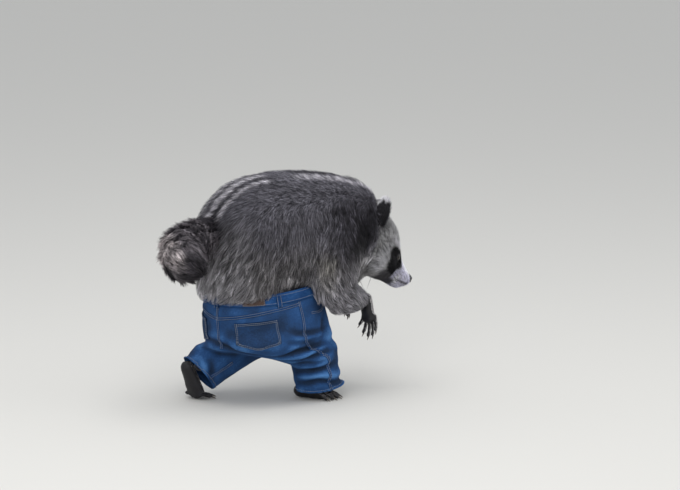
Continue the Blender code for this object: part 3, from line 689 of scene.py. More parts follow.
def face_marks(p):
    """The face's colour, and how much of the muzzle each place is."""
    back, side, up = (in_head(p) * (-1, 1, 1)).T
    side = np.abs(side)
    muzzle = step(np.interp(up, [-4, 6], [55, 44]), np.interp(up, [-4, 6], [47, 36]), back)
    # the mask runs from the bridge over each eye, down and back across the cheek
    heights = [-18, -11, -2, 8, 17, 26, 33]
    fore = np.interp(up, heights, [56, 54, 48, 38, 41, 46, 56])
    rear = np.interp(up, heights, [82, 85, 87, 87, 87, 84, 74])
    mask = step(-2.5, 2.5, back - fore) * step(2.5, -2.5, back - rear)
    mask *= step(-21, -15, up) * step(35, 31, up) * step(3, 9, side)
    blaze = step(9, 4, side) * step(26, 34, back) * step(104, 80, back) * step(2, 10, up)
    brow = bump(up - 0.12 * (back - 60), 37, 9) * step(44, 56, back) * step(104, 84, back) * step(10, 17, side)
    cheek_line = bump(back, 93 - 0.25 * (up - 20), 11) * step(42, 18, up) * step(-45, -25, up)
    lip = bump(up + 12 + 0.12 * (back - 20), 0, 2.6) * step(6, 12, back) * step(42, 34, back)
    return layered(np.ones((len(p), 1)) * tint("#B3B2B3"), (
        ("#75737A", step(118, 138, back)),
        ("#CFCDD0", 0.75 * bump(back, 102, 22) * bump(up, -16, 24)),  # low cheek
        ("#67646B", 0.9 * step(34, 50, up) * step(58, 75, back) * step(26, 12, side)),  # crown
        ("#2C2A30", 0.95 * bump(back, 146, 30) * step(62, 25, np.abs(up - 6))),  # behind the ears
        ("#DAD8DC", 0.9 * brow),
        ("#C9C8CC", 0.7 * cheek_line),
        ("#D6D4D4", 0.9 * step(-26, -40, up) * step(62, 86, back)),  # throat
        ("#DCDAEA", muzzle),
        # painted highlight along the top of the muzzle, where the light from above falls
        ("#F2F1F6", muzzle * step(2, 9, up) * bump(side, 9, 8)),
        ("#EEEDF2", bump(back, 36, 6) * step(0, -8, up) * step(-26, -16, up)),
        ("#6E6A76", 0.8 * muzzle * step(7, 13, up) * step(5, 2, side)),  # bridge
        ("#100E12", np.clip(mask + 0.7 * blaze, 0, 1)),
        ("#353238", 0.85 * step(-15, -21, up) * step(33, 41, back) * step(94, 84, back)),  # jaw
        ("#2A2630", 0.8 * lip),
    )), muzzle


def marks(p, kinds):
    """The coat's colours at places on the body, root, pale band and dark tip, and the share of dark tips."""
    ones = np.ones((len(p), 1))
    root, tip = mix(ones * tint("#28272C"), tint("#2C2B30"), step(275, 215, in_hips(p)[:, 2])), ones * tint("#1B1A1F")
    band, dark = body_marks(p, kinds)

    head = is_kind(kinds, "head")
    face, muzzle = face_marks(p)
    # ears: dark behind, with a thin pale rim on the inner and upper edge, and grey hair inside
    ear = is_kind(kinds, "ear")
    ahead, outward, above = in_ear(p).T
    edge = from_ear_middle(p)
    rim = step(0.58, 0.72, edge) * step(2, -6, outward) * step(-10, 2, above) * step(4, -1, ahead)
    rim = np.maximum(rim, 0.9 * step(0.82, 0.90, edge) * step(2, 12, above - outward * 1.7))
    ears = layered(ones * tint("#1C1A1F"), (("#E2E0E4", rim), ("#77747A", 0.6 * step(2, 6, ahead) * (1 - rim))))
    near_skin = face * (0.42 + 0.45 * muzzle)[:, None]
    for part, on_face, on_ear in ((band, face, ears), (tip, face * 0.45, ears), (root, near_skin, ears * 0.5)):
        part[head], part[ear] = on_face[head], on_ear[ear]
    dark = np.where(head, 0.25 * step(45, 80, -in_head(p)[:, 0]), dark)

    # paws: bare and black below, with pale hair on the back of each hand and foot
    hand, foot = is_kind(kinds, "forepaw"), is_kind(kinds, "hindfoot")
    outer, inner = ("#E4E1E2", "#8D898C"), ("#77757A", "#2C2A2E")
    for part, (on_hand, on_foot) in ((band, outer), (tip, outer), (root, inner)):
        part[hand], part[foot] = tint(on_hand), tint(on_foot)
    dark[ear], dark[hand | foot] = 0.1, 0.15
    return root, band, tip, np.clip(dark, 0, 1)


# ======== where no hair stands
HIP_TURN = math.radians(20)
WAIST = ((-44, 0, 191), 96, 84, 6)  # centre, half deep, half wide, how much higher the front is
BARE_ROUND_EYE, BARE_NOSE = 8.2, 4.5  # how far from an eye's middle and the nose's tip no hair stands


def round_waist(b):
    """How far out from the middle of the trousers, where 1 is the cloth, and the height above the waist's edge."""
    centre, deep, wide, lift = WAIST
    c, s = math.cos(HIP_TURN), math.sin(HIP_TURN)
    dx, dy = b[:, 0] - centre[0], b[:, 1] - centre[1]
    u, v = (c * dx + s * dy) / deep, (c * dy - s * dx) / wide
    return np.hypot(u, v), b[:, 2] - centre[2] - u * lift


def in_trousers(p, n, kinds):
    """Places that bear no hair: under the cloth or facing it, on palms, soles, eyes and nose."""
    b = in_hips(p)
    far, above = round_waist(b)
    inward = (n[:, 0] * (b[:, 0] - WAIST[0][0]) + n[:, 1] * b[:, 1]) < 0
    trunk = is_kind(kinds, "trunk")
    hidden = (far < 1.03) & (above < 1) | trunk & (inward & (above < 4) | (b[:, 2] < 150))
    hidden |= is_kind(kinds, "hindleg") | is_kind(kinds, "forepaw") & (n[:, 0] < 0.05)
    hidden |= is_kind(kinds, "hindfoot") & ((n[:, 2] < 0.2) | (n[:, 0] < 0.1) & (b[:, 0] < -100))
    for side in SIDES:
        hidden |= np.linalg.norm(np.asarray(p) - np.array(EYES[side]), axis=1) < BARE_ROUND_EYE * MM
    return hidden | is_kind(kinds, "head") & (in_head(p)[:, 0] > -BARE_NOSE)


# ======== tufts
TUFTS = {  # tufts to the square centimetre, half width of one, tufts in a lock
    "trunk": (40, 0.75, 16), "neck": (36, 0.7, 14), "tail_base": (26, 0.85, 14), "tail_tip": (26, 0.8, 14),
    "foreleg_upper": (36, 0.62, 14), "foreleg_lower": (38, 0.5, 12), "head": (75, 0.42, 10),
    "ear": (110, 0.3, 8), "forepaw": (150, 0.30, 8), "hindfoot": (45, 0.28, 8), "hindleg": (0, 0.4, 8),
}


def per_kind(kinds, column):
    """One column of the table of tufts, for each place's kind of flesh."""
    return np.array([TUFTS[k][column] for k in KINDS], float)[kinds]


def scattered(mesh, kinds, depth):
    """Random places on an outline: point, normal, kind of flesh and coat depth."""
    mesh.calc_loop_triangles()
    tris = read(mesh.loop_triangles, "vertices", 3, np.int32)
    spots, normals = coords(mesh), coords(mesh, "normal")
    a, b, c = (spots[tris[:, k]] for k in range(3))
    area = np.linalg.norm(np.cross(b - a, c - a), axis=1) / 2 * 1e4
    own = kinds[tris[:, 0]]
    closer = np.interp(-in_head(a)[:, 0], [10, 60, 90, 130], [1.3, 1.1, 0.8, 0.6])  # the face's hair is finer
    per_cm2 = per_kind(own, 0) * np.where(is_kind(own, "head"), closer, 1)
    which = np.repeat(np.arange(len(tris)), RNG.poisson(area * per_cm2))
    r1, r2 = np.sqrt(RNG.random(len(which))), RNG.random(len(which))
    w = np.stack([1 - r1, r1 * (1 - r2), r1 * r2], 1)[..., None]
    tris = tris[which]
    p, n, d = ((values[tris] * w).sum(1) for values in (spots, normals, depth[:, None]))
    return p, unit(n), kinds[tris[:, 0]], d[:, 0]


P, N, K, D = (np.concatenate(rows) for rows in zip(*(scattered(*o) for o in OUTLINES)))
keep = ~in_trousers(P, N, K)
P, N, K, D = (v[keep] for v in (P, N, K, D))
WAY, REACH = lie(P, N, K)
TAIL, ARM = is_kind(K, "tail_base", "tail_tip"), is_kind(K, "foreleg_upper", "foreleg_lower")
BODY_COAT, PAW, SHORT = is_kind(K, "trunk", "neck"), is_kind(K, "forepaw", "hindfoot"), is_kind(K, "head", "ear")
SHORT |= PAW
COUNT = len(P)

# locks: neighbouring tufts lean together towards one point, most where the coat is shaggy
seeds = np.flatnonzero(RNG.random(COUNT) < 1 / per_kind(K, 2))
seed_tree = tree_of(P[seeds])
LOCK = np.array([seed_tree.find(place)[1] for place in P.tolist()])
in_lock = np.clip(RNG.normal(0, 1, (len(seeds), 3)), -1.6, 1.6)[LOCK]
shaggy = np.select([ARM, TAIL, BODY_COAT], [0.9, 0.6, step(300, 225, in_hips(P)[:, 2])], 0.5)
sway = in_lock[:, :1] * (0.10 + 0.16 * shaggy[:, None]) + RNG.normal(0, 0.10, (COUNT, 1))
WAY = unit(WAY + np.cross(N, WAY) * sway)
reach = REACH * RNG.uniform(0.75, 1.2, COUNT)
sink = RNG.random(COUNT) ** 1.6 * 0.38 * D
sink = np.where(TAIL, sink - 5.0 * np.clip(in_lock[:, 2], -0.5, 1.4), sink)  # the tail's locks stand out unevenly
TIP = P - N * (sink * MM)[:, None]
pull = (0.15 + 0.45 * shaggy) * RNG.uniform(0.5, 1, COUNT) * ~PAW
edge = is_kind(K, "ear") & (from_ear_middle(P) > 0.84)
TIP = np.where(edge[:, None], P + N * 2.6 * MM, TIP)
TIP = TIP + (P[seeds][LOCK] + WAY * (6 * MM) - TIP) * (pull * 0.6)[:, None]
start = P - WAY * (reach * MM)[:, None] - N * (D * MM)[:, None]
SKIN_TREE = surface_of(SKIN, coords(SKIN))
found = [SKIN_TREE.find_nearest(q) for q in start.tolist()]
ROOT, ROOT_N = (np.array([f[k] for f in found]) for k in (0, 1))
ROOT -= ROOT_N * 0.4 * MM
lift = np.where(SHORT, 0.35, 0.75)
CONTROL = ROOT + ROOT_N * (D * lift * MM)[:, None] + (TIP - ROOT) * 0.3

# colours: each lock and each tuft has its own lightness, and shaggy hair is dark inside and pale outside
root_c, band_c, tip_c, dark = marks(P, K)
of_lock = np.where(TAIL, 0.16, 0.08 + 0.34 * shaggy)
light = np.exp(in_lock[:, 1] * of_lock + RNG.normal(0, 1, COUNT) * (0.30 - 0.05 * shaggy))[:, None]
light = np.where(SHORT[:, None], light ** 0.45, light)
is_dark = (RNG.random(COUNT) < dark)[:, None]
inner = np.where(BODY_COAT | ARM, shaggy, 0)[:, None]
ROOT_C = root_c * light * (1 - 0.45 * inner)
MID_C = np.where(is_dark, band_c * 0.62, band_c) * light * (1 - 0.30 * inner)
TIP_C = np.where(is_dark, tip_c, band_c * 1.12 * (1 + 0.55 * inner)) * light
WIDE = per_kind(K, 1) * RNG.uniform(0.75, 1.25, COUNT)


def bake_places():
    """Each tuft's place on an unwrap of the skin's own shape."""
    mesh = fused([SKIN], UNWRAP_GRID, "unwrap", 0)
    obj = put("unwrap", mesh)
    bpy.context.view_layer.objects.active = obj
    obj.select_set(True)
    bpy.ops.object.mode_set(mode="EDIT")
    bpy.ops.mesh.select_all(action="SELECT")
    bpy.ops.uv.smart_project(angle_limit=math.radians(66), island_margin=0.004)
    bpy.ops.object.mode_set(mode="OBJECT")
    unwrapped = read(mesh.uv_layers[0].data, "uv", 2)
    loops = [list(face.loop_indices) for face in mesh.polygons]
    corners = np.array([(q[0], q[k], q[k + 1]) for q in loops for k in range(1, len(q) - 1)])
    tris = read(mesh.loops, "vertex_index", 1, np.int32)[:, 0][corners]
    spots = coords(mesh)
    near = BVHTree.FromPolygons(spots.tolist(), tris.tolist())
    hits = [near.find_nearest(q) for q in ROOT.tolist()]
    places, which = np.array([h[0] for h in hits]), np.array([h[2] for h in hits])
    corners = corners[which]
    a, b, c = (spots[tris[which, k]] for k in range(3))
    size = np.maximum(np.linalg.norm(np.cross(b - a, c - a), axis=1), 1e-15)
    w = [np.linalg.norm(np.cross(u - places, v - places), axis=1) / size for u, v in ((b, c), (c, a), (a, b))]
    bpy.data.objects.remove(obj)
    return sum(unwrapped[corners[:, k]] * (w[k] / sum(w))[:, None] for k in range(3))


BAKE = bake_places()


def coat_piece(name, pick):
    """One mesh of closed tufts, three-sided spikes that bend once, or stay straight where the coat is short."""
    bends = not SHORT[pick].any()
    root, control, tip, wide = ROOT[pick], CONTROL[pick], TIP[pick], WIDE[pick] * MM
    middle = root * 0.25 + control * 0.5 + tip * 0.25
    rings = [(root, control - root, 1.0)] + ([(middle, tip - root, 0.8)] if bends else [])
    n, last = len(pick), 3 * len(rings)
    verts = np.zeros((n, last + 1, 3))
    for r, (place, way, share) in enumerate(rings):
        way = unit(way)
        across = unit(np.cross(way, ROOT_N[pick] + 1e-5))
        up = np.cross(across, way)
        for k, angle in enumerate((90, 210, 330)):
            c, s = math.cos(math.radians(angle)), math.sin(math.radians(angle))
            verts[:, 3 * r + k] = place + (across * c + up * s * 0.55) * (wide * share)[:, None]
    verts[:, last] = tip
    shape = [(2, 1, 0)]
    if bends:
        for a, c in ((0, 1), (1, 2), (2, 0)):
            shape += [(a, c, a + 3), (c, c + 3, a + 3)]
    shape += [(last - 3 + k, last - 3 + (k + 1) % 3, last) for k in range(3)]
    faces = (np.arange(n)[:, None, None] * (last + 1) + np.array(shape)).reshape(-1)
    mesh = bpy.data.meshes.new(name)
    mesh.vertices.add(n * (last + 1))
    mesh.loops.add(len(faces))
    mesh.polygons.add(len(faces) // 3)
    write(mesh.vertices, "co", verts)
    write(mesh.loops, "vertex_index", faces, np.int32)
    write(mesh.polygons, "loop_start", np.arange(0, len(faces), 3), np.int32)
    patch = np.zeros((n, last + 1, 2))  # each tuft takes a small patch of the unwrap round its root's place
    for v in range(last):
        q = math.tau * (v % 3) / 3 + 0.4 * (v // 3)
        patch[:, v] = np.array([math.cos(q), math.sin(q)]) * (0.0015 - 0.0006 * (v // 3))
    patch += BAKE[pick][:, None]
    write(mesh.uv_layers.new(name="OFBake").data, "uv", patch.reshape(-1, 2)[faces])
    colours = np.ones((n, last + 1, 4))
    colours[:, 0:3, :3] = (ROOT_C[pick] if bends else 0.5 * ROOT_C[pick] + 0.5 * MID_C[pick])[:, None]
    colours[:, 3:last, :3] = MID_C[pick][:, None]
    colours[:, last, :3] = TIP_C[pick]
    note(mesh, "coat", colours)
    mesh.update()
    mesh.validate()
    mesh.shade_smooth()
    mesh.materials.append(FUR)
    return new_object(name, mesh)


def coat_coloured(name, **inputs):
    """A material that takes the coat's own colours."""
    made, tree, place = new_material(name, **inputs)
    feed(tree, add(tree, "ShaderNodeAttribute", attribute_name="coat").outputs["Color"])
    return made, tree, place


# guard hair: soft, grizzled and only faintly glossy, so the colours of root, band and tip carry it
FUR = coat_coloured("agouti guard hair", Roughness=0.62, Specular_IOR_Level=0.35)[0]
bx, by, bz = in_hips(P).T
trunk, rear = is_kind(K, "trunk"), bx <= -45
GROUPS = {
    "coat_back": trunk & ~rear & (bz > 300),
    "coat_rump": trunk & rear & (bz > 285),
    "coat_flank": trunk & ~rear & (bz <= 300),
    "coat_haunch": trunk & rear & (bz <= 285),
    "coat_neck": is_kind(K, "neck"),
    "coat_tail": TAIL,
    "coat_foreleg": ARM,
    "coat_head": is_kind(K, "head"),
    "coat_ears_and_paws": is_kind(K, "ear") | PAW,
}
for name, pick in GROUPS.items():
    if name in ("coat_flank", "coat_haunch", "coat_foreleg"):
        coat_piece(name + "_right", np.flatnonzero(pick & (by <= 0)))
        coat_piece(name + "_left", np.flatnonzero(pick & (by > 0)))
    else:
        coat_piece(name, np.flatnonzero(pick))


# ======== the skin's lids and colours
EYE = 7.2  # radius of the eyeball


def eye_frame(side):
    """The eyeball's middle in metres and its own axes: ahead, outward and up."""
    sign = 1 if side == "left" else -1
    ahead = (HEAD_TURN @ Vector((0.80, 0.56 * sign, 0.24))).normalized()
    outward = (HEAD_TURN @ Vector((0, 0, sign))).cross(-ahead).normalized()
    axes = Matrix((ahead, outward, ahead.cross(outward) * sign)).transposed()
    return EYES[side] - ahead * 1.6 * MM, axes


def lids(side):
    """Upper and lower lid as one almond-shaped rim that lies on the eyeball and runs into the face."""
    centre, axes = eye_frame(side)
    bm, rings = bmesh.new(), []
    for c, s in circle(56):
        tall = 34 if s > 0 else 40
        opening = ((abs(c) / 56) ** 1.7 + (abs(s) / tall) ** 1.7) ** (-1 / 1.7)
        across = []
        for extra, out in ((0, 0.05), (0, 0.5), (5, 0.95), (13, 1.0), (24, 0.5), (42, -0.8), (42, -2.5), (10, -1.5)):
            a = math.radians(opening + extra)
            across.append(centre + axes @ Vector((math.cos(a), math.sin(a) * c, math.sin(a) * s)) * (EYE + out) * MM)
        rings.append(across)
    loft(bm, rings, looped=True)
    return mesh_from(bm, "lids")


def skin_material():
    """Hide: dull and finely creased, seen between the hairs and on palms and soles."""
    made, tree, place = coat_coloured("hide under the coat", Roughness=0.62, Specular_IOR_Level=0.4)
    pores = add(tree, "ShaderNodeTexVoronoi", {"Vector": place, "Scale": 1 / (1.1 * MM)})
    creases = add(tree, "ShaderNodeTexNoise", {"Vector": place, "Scale": 1 / (3.0 * MM), "Detail": 3.0})
    both = {0: creases.outputs["Fac"], 1: 1.5, 2: pores.outputs["Distance"]}
    feed(tree, None, add(tree, "ShaderNodeMath", both, operation="MULTIPLY_ADD").outputs[0], 0.35, 0.3)
    return made


def paint_skin():
    """Gives the skin its lids and colours, and puts it in the scene."""
    nearest = tree_of(np.vstack([coords(m) for m, _, _ in OUTLINES]))
    kinds = np.concatenate([k for _, k, _ in OUTLINES])
    places = coords(SKIN)
    own = kinds[[nearest.find(q)[1] for q in places.tolist()]]
    shade = np.where(is_kind(own, "forepaw", "hindfoot")[:, None], tint("#151317"), marks(places, own)[1] * 0.4)
    mesh = joined("skin", [SKIN, *(lids(side) for side in SIDES)])
    colours = np.ones((len(mesh.vertices), 4))
    colours[:, :3] = tint("#120F13")  # the rims of the lids
    colours[:len(shade), :3] = shade
    note(mesh, "coat", colours)
    mesh.shade_smooth()
    mesh.materials.append(skin_material())
    new_object("skin", mesh, FLESH)


paint_skin()


# ======== eyes, nose, claws and whiskers
def eye_material():
    """A wet eye: black pupil, dark brown iris with fine spokes, under a clear cornea that gives one hard highlight."""
    made, tree, place = new_material(
        "wet brown eye", Roughness=0.2, IOR=1.376, Specular_IOR_Level=0.2,
        Coat_Weight=0.55, Coat_Roughness=0.03, Coat_IOR=1.376,
    )
    from_pupil = add(tree, "ShaderNodeAttribute", attribute_name="from_pupil").outputs["Fac"]
    spokes = add(tree, "ShaderNodeTexNoise", {"Vector": place, "Scale": 1 / (0.9 * MM), "Detail": 3.0})
    uneven = {0: spokes.outputs["Fac"], 1: 0.03, 2: from_pupil}
    uneven = add(tree, "ShaderNodeMath", uneven, operation="MULTIPLY_ADD").outputs[0]
    stops = ((0.085, "#040304"), (0.105, "#170D08"), (0.19, "#22150C"), (0.225, "#070505"), (0.27, "#140D0A"))
    feed(tree, add(tree, "ShaderNodeValToRGB", {"Fac": uneven}, stops).outputs[0])
    return made


def ball(rows, count, place_on):
    """A closed skin round a ball. place_on says where each place of a ball of radius 1 goes."""
    bm, rings = bmesh.new(), []
    for k in range(1, rows):
        a = math.pi * k / rows
        rings.append([place_on(math.cos(a), math.sin(a) * c, math.sin(a) * s) for c, s in circle(count)])
    loft(bm, rings)
    return bm


def make_eyes():
    """Two eyeballs, each with a cornea that stands out."""
    wet = eye_material()
    for side in SIDES:
        centre, axes = eye_frame(side)

        def place_on(x, y, z):
            cornea = 0.55 * max(0.0, 1 - (math.acos(x) / 0.7) ** 2) ** 1.5
            return centre + axes @ Vector((x, y, z)) * (EYE + cornea) * MM

        def from_pupil(p):
            return np.arccos(np.clip(unit(p - np.array(centre)) @ np.array(axes.col[0]), -1, 1)) / math.pi

        piece(ball(40, 48, place_on), f"eyeball_{side}", wet, "eye", f"eye_{side}", from_pupil=from_pupil)


def make_nose():
    """The bare nose pad: two comma-shaped nostrils, a groove between them and a pebbled wet surface."""
    def place_on(x, y, z):
        side = abs(y)
        dent = 2.7 * math.exp(-((side - 0.50) ** 2 + (z + 0.02) ** 2) / 0.045) * (x > 0)
        dent += 1.6 * math.exp(-((side - 0.80) ** 2 / 0.03 + (z + 0.20) ** 2 / 0.018)) * (x > -0.1)
        dent += 0.7 * math.exp(-(y / 0.07) ** 2) * (x > 0.1) * (z < 0.45)
        swell = 0.5 * math.exp(-((side - 0.42) ** 2 + (z - 0.5) ** 2) / 0.08)
        out = 1 + (swell - dent) / 8
        high = 7.3 * z * out * (0.86 if z < 0 else 1.0)
        return head_point(-7.6 + 8 * x * out - 2 * z, 9.3 * y * out * (1 + 0.08 * z), 0.8 + high)

    wet = {"Roughness": 0.34, "Coat_Weight": 0.35, "Coat_Roughness": 0.15}
    made, tree, place = new_material("wet pebbled nose leather", Base_Color=linear("#121012"), **wet)
    pebbles = add(tree, "ShaderNodeTexVoronoi", {"Vector": place, "Scale": 1 / (0.8 * MM)})
    feed(tree, None, pebbles.outputs["Distance"], 0.6, 0.2)
    piece(ball(64, 72, place_on), "nose_pad", made, "nose_skin", "nose")


def make_claws():
    """A curved claw on each toe, deeper than it is wide, dark at the root and paler at the point."""
    horn, tree, place = new_material("claw horn", Roughness=0.42)
    along = add(tree, "ShaderNodeAttribute", attribute_name="to_point").outputs["Fac"]
    lines = add(tree, "ShaderNodeTexNoise", {"Vector": place, "Scale": 1 / (1.0 * MM), "Detail": 2.0})
    share = add(tree, "ShaderNodeMath", {0: along, 1: lines.outputs["Fac"]}, operation="MULTIPLY").outputs[0]
    colours = {0: share, 6: linear("#211C1A"), 7: linear("#8C8074")}
    feed(tree, add(tree, "ShaderNodeMix", colours, data_type="RGBA").outputs[2])
    for node in (*HANDS, "hindfoot_right", "hindfoot_left"):
        *_, toes, radius, sole = paw_layout(node)
        tips = [np.array((tip + HIPS) * MM) for _, tip in toes]
        bm = bmesh.new()
        for middle, tip in toes:
            way = (tip - middle).normalized()
            side = way.cross(sole).normalized()
            down = side.cross(way) if side.cross(way).dot(sole) > 0 else way.cross(side)
            rings = []
            for k in range(9):
                t = k / 8
                centre = tip - sole * 0.9 + way * (-1.5 + t * (radius + 6.4)) + down * (2.4 * t * t)
                if node not in HANDS:
                    centre.z = max(centre.z, 1.9 * (1 - t) ** 0.6 + 0.7)
                size = 1.75 * (1 - t) ** 0.6 + 0.12
                rings.append([(p + HIPS) * MM for p in ring(centre, side, down, size * 0.7, size, 10)])
            loft(bm, rings)

        def to_point(p):
            return np.clip(np.min([np.linalg.norm(p - tip, axis=1) for tip in tips], 0) / (9 * MM), 0, 1)

        piece(bm, f"claws_{node}", horn, "nose_skin", to_point=to_point)


def make_whiskers():
    """Stiff tapering whiskers in rows on each side of the muzzle, with a few over the eyes."""
    hair = new_material("whisker keratin", Base_Color=linear("#BDB9B7"), Roughness=0.4)[0]
    rng = np.random.default_rng(23)
    whiskers = [  # root, way and length
        ((-13 - 5.5 * i, 8 + 1.0 * i, -1 - 3.6 * j), (-0.35 - 0.12 * i, 0.9, -0.05 - 0.28 * j), 20 + 6 * i - 2 * j)
        for j in range(3) for i in range(4)
    ]
    whiskers += [((-50, 20, 27), (-0.2, 0.7, 0.65), 22), ((-53, 21, 28), (-0.35, 0.7, 0.6), 26)]
    bm = bmesh.new()
    for sign in (1, -1):
        for (x, y, z), way, length in whiskers:
            start = SKIN_TREE.find_nearest(head_point(x, sign * y, z))[0]
            out = HEAD_TURN @ Vector((way[0], sign * way[1], way[2]))
            out = (out + Vector(rng.normal(0, 0.08, 3))).normalized()
            sag = Vector((-0.25, 0, -0.22)) * length
            side = out.cross(Vector((0, 0, 1))).normalized()
            rings = []
            for k in range(9):
                t = k / 8
                centre = start + (out * length * (t - 0.04) + sag * t * t) * MM
                size = (0.19 * (1 - t) + 0.04) * MM
                rings.append(ring(centre, side, side.cross(out), size, size, 3))
            loft(bm, rings)
    piece(bm, "whiskers", hair, "grey_fur")


make_eyes()
make_nose()
make_claws()
make_whiskers()


# ======== the jeans: cloth
SEAT_RINGS = (  # waist to crotch: centre, half deep, half wide, how much higher the front is
    WAIST,
    ((-41, 0, 168), 102, 88, 6),
    ((-37, 0, 144), 106, 91, 5),
    ((-32, 0, 120), 109, 92, 4),
    ((-30, 0, 98), 109, 90, 2),
)
LEG_RINGS = {  # crotch to hem: centre, half deep, half wide, the lean of the ring
    "right": (
        ((35, -38, 75), 39.5, 41, 17), ((40, -34, 46), 38, 38, 6),
        ((45, -31, 26), 38, 36, 3), ((51, -30, 9), 40, 35, 1),
    ),
    "left": (
        ((-94, 48, 69), 48, 41, -24), ((-116, 47, 55), 41, 38, -36),
        ((-127, 46, 48), 36, 34, -46), ((-136, 46, 43), 36, 33, -51),
    ),
}
HEMS = {"right": 0.88, "left": 1.0}  # how far down each leg's cloth ends
AROUND, SEAT_ROWS, CROTCH, SAG = 48, 6, 7, 15
SEAT_CELL, LEG_CELL = (13.2, 15.5), (7.5, 11)  # the cage's cells on the flat cloth, wide and long
CLOTH = 1.1  # thickness of the denim


def between_rings(rings, down, place_on):
    """A place between two rings of a table: down 0 is the first ring and 1 the last."""
    spot = down * (len(rings) - 1)
    k = int(min(max(spot, 0), len(rings) - 2))
    upper, lower = (Vector(row[0]) + place_on(*row[1:]) for row in rings[k:k + 2])
    return upper.lerp(lower, spot - k)


def seat_at(turn, level):
    """A place on the seat in the hips' frame. Turn 0 is the back seam, 0.25 the right side; level 1 is the crotch."""
    c, s = math.cos(math.tau * turn), math.sin(math.tau * turn)

    def place_on(deep, wide, lift):
        x, y = -math.copysign(abs(c) ** 0.94, c) * deep, -math.copysign(abs(s) ** 0.94, s) * wide
        return Matrix.Rotation(HIP_TURN, 3, "Z") @ Vector((x, y, x / deep * lift))

    return between_rings(SEAT_RINGS, level, place_on)


def leg_at(side, angle, down):
    """A place on a leg: angle 0 is its back and a quarter turn its outer side; down 0 is the top ring, 1 the hem."""
    outward = -1 if side == "right" else 1

    def place_on(deep, wide, lean):
        turn = Matrix.Rotation(math.radians(-lean), 3, "Y") @ Matrix.Rotation(HIP_TURN * 0.5, 3, "Z")
        return turn @ Vector((-math.cos(angle) * deep, math.sin(angle) * wide * outward, 0))

    return between_rings(LEG_RINGS[side], down, place_on)


def trouser_cage():
    """The seat and both legs as one open sheet of even quads, with how far down each vertex is and on which leg."""
    bm = bmesh.new()
    down = bm.verts.layers.float.new("down")
    leg = bm.verts.layers.float.new("leg")
    weave = bm.loops.layers.uv.new("weave")

    def vert(place, how_far, which=0.0):
        made = bm.verts.new(place * MM)
        made[down], made[leg] = how_far, which
        return made

    def quads(rows, start, cell):
        for r in range(len(rows) - 1):
            for i in range(len(rows[0])):
                k = (i + 1) % len(rows[0])
                face = bm.faces.new((rows[r][i], rows[r][k], rows[r + 1][k], rows[r + 1][i]))
                for loop, (u, v) in zip(face.loops, ((i, r), (i + 1, r), (i + 1, r + 1), (i, r + 1))):
                    loop[weave].uv = (u * cell[0] * MM, (start + v * cell[1]) * MM)

    levels = [r / SEAT_ROWS for r in range(SEAT_ROWS + 1)]
    seat = [[vert(seat_at(i / AROUND, level), level) for i in range(AROUND)] for level in levels]
    quads(seat, 0, SEAT_CELL)
    bottom, half = seat[-1], AROUND // 2
    front, back = bottom[half].co / MM, bottom[0].co / MM
    shares = [(k + 1) / (CROTCH + 1) for k in range(CROTCH)]
    sag = [Vector((0, 0, SAG * math.sin(math.pi * t) ** 0.7)) for t in shares]
    strip = [vert(front.lerp(back, t) - low, 1.0) for t, low in zip(shares, sag)]
    for side, which in (("right", 1.0), ("left", -1.0)):
        loop = [bottom[int(which) * i % AROUND] for i in range(half + 1)] + strip
        first = [math.pi * i / half for i in range(half + 1)] + [math.pi * (1 + t) for t in shares]
        even = [math.pi / 2 + math.tau * (i - half / 2) / len(loop) for i in range(len(loop))]
        rings = [loop]
        for t in (0, 0.2, 0.4, 0.6, 0.8, 1.0):
            blend = min(1.0, (1 + 3 * t) / 3)
            places = [leg_at(side, a + (b - a) * blend, t * HEMS[side]) for a, b in zip(first, even)]
            if side == "right":  # the hem rides up at the front
                places = [p + Vector((0, 0, max(p.x - 30, 0) * 0.13 * t ** 3)) for p in places]
            rings.append([vert(p, 1.12 + 0.88 * t, which) for p in places])
        rings.insert(1, [vert((a.co + b.co) / (2 * MM), 1.06, which * 0.5) for a, b in zip(loop, rings[1])])
        quads(rings, SEAT_ROWS * SEAT_CELL[1], LEG_CELL)
    bmesh.ops.translate(bm, verts=bm.verts, vec=HIPS * MM)
    return mesh_from(bm, "jeans")


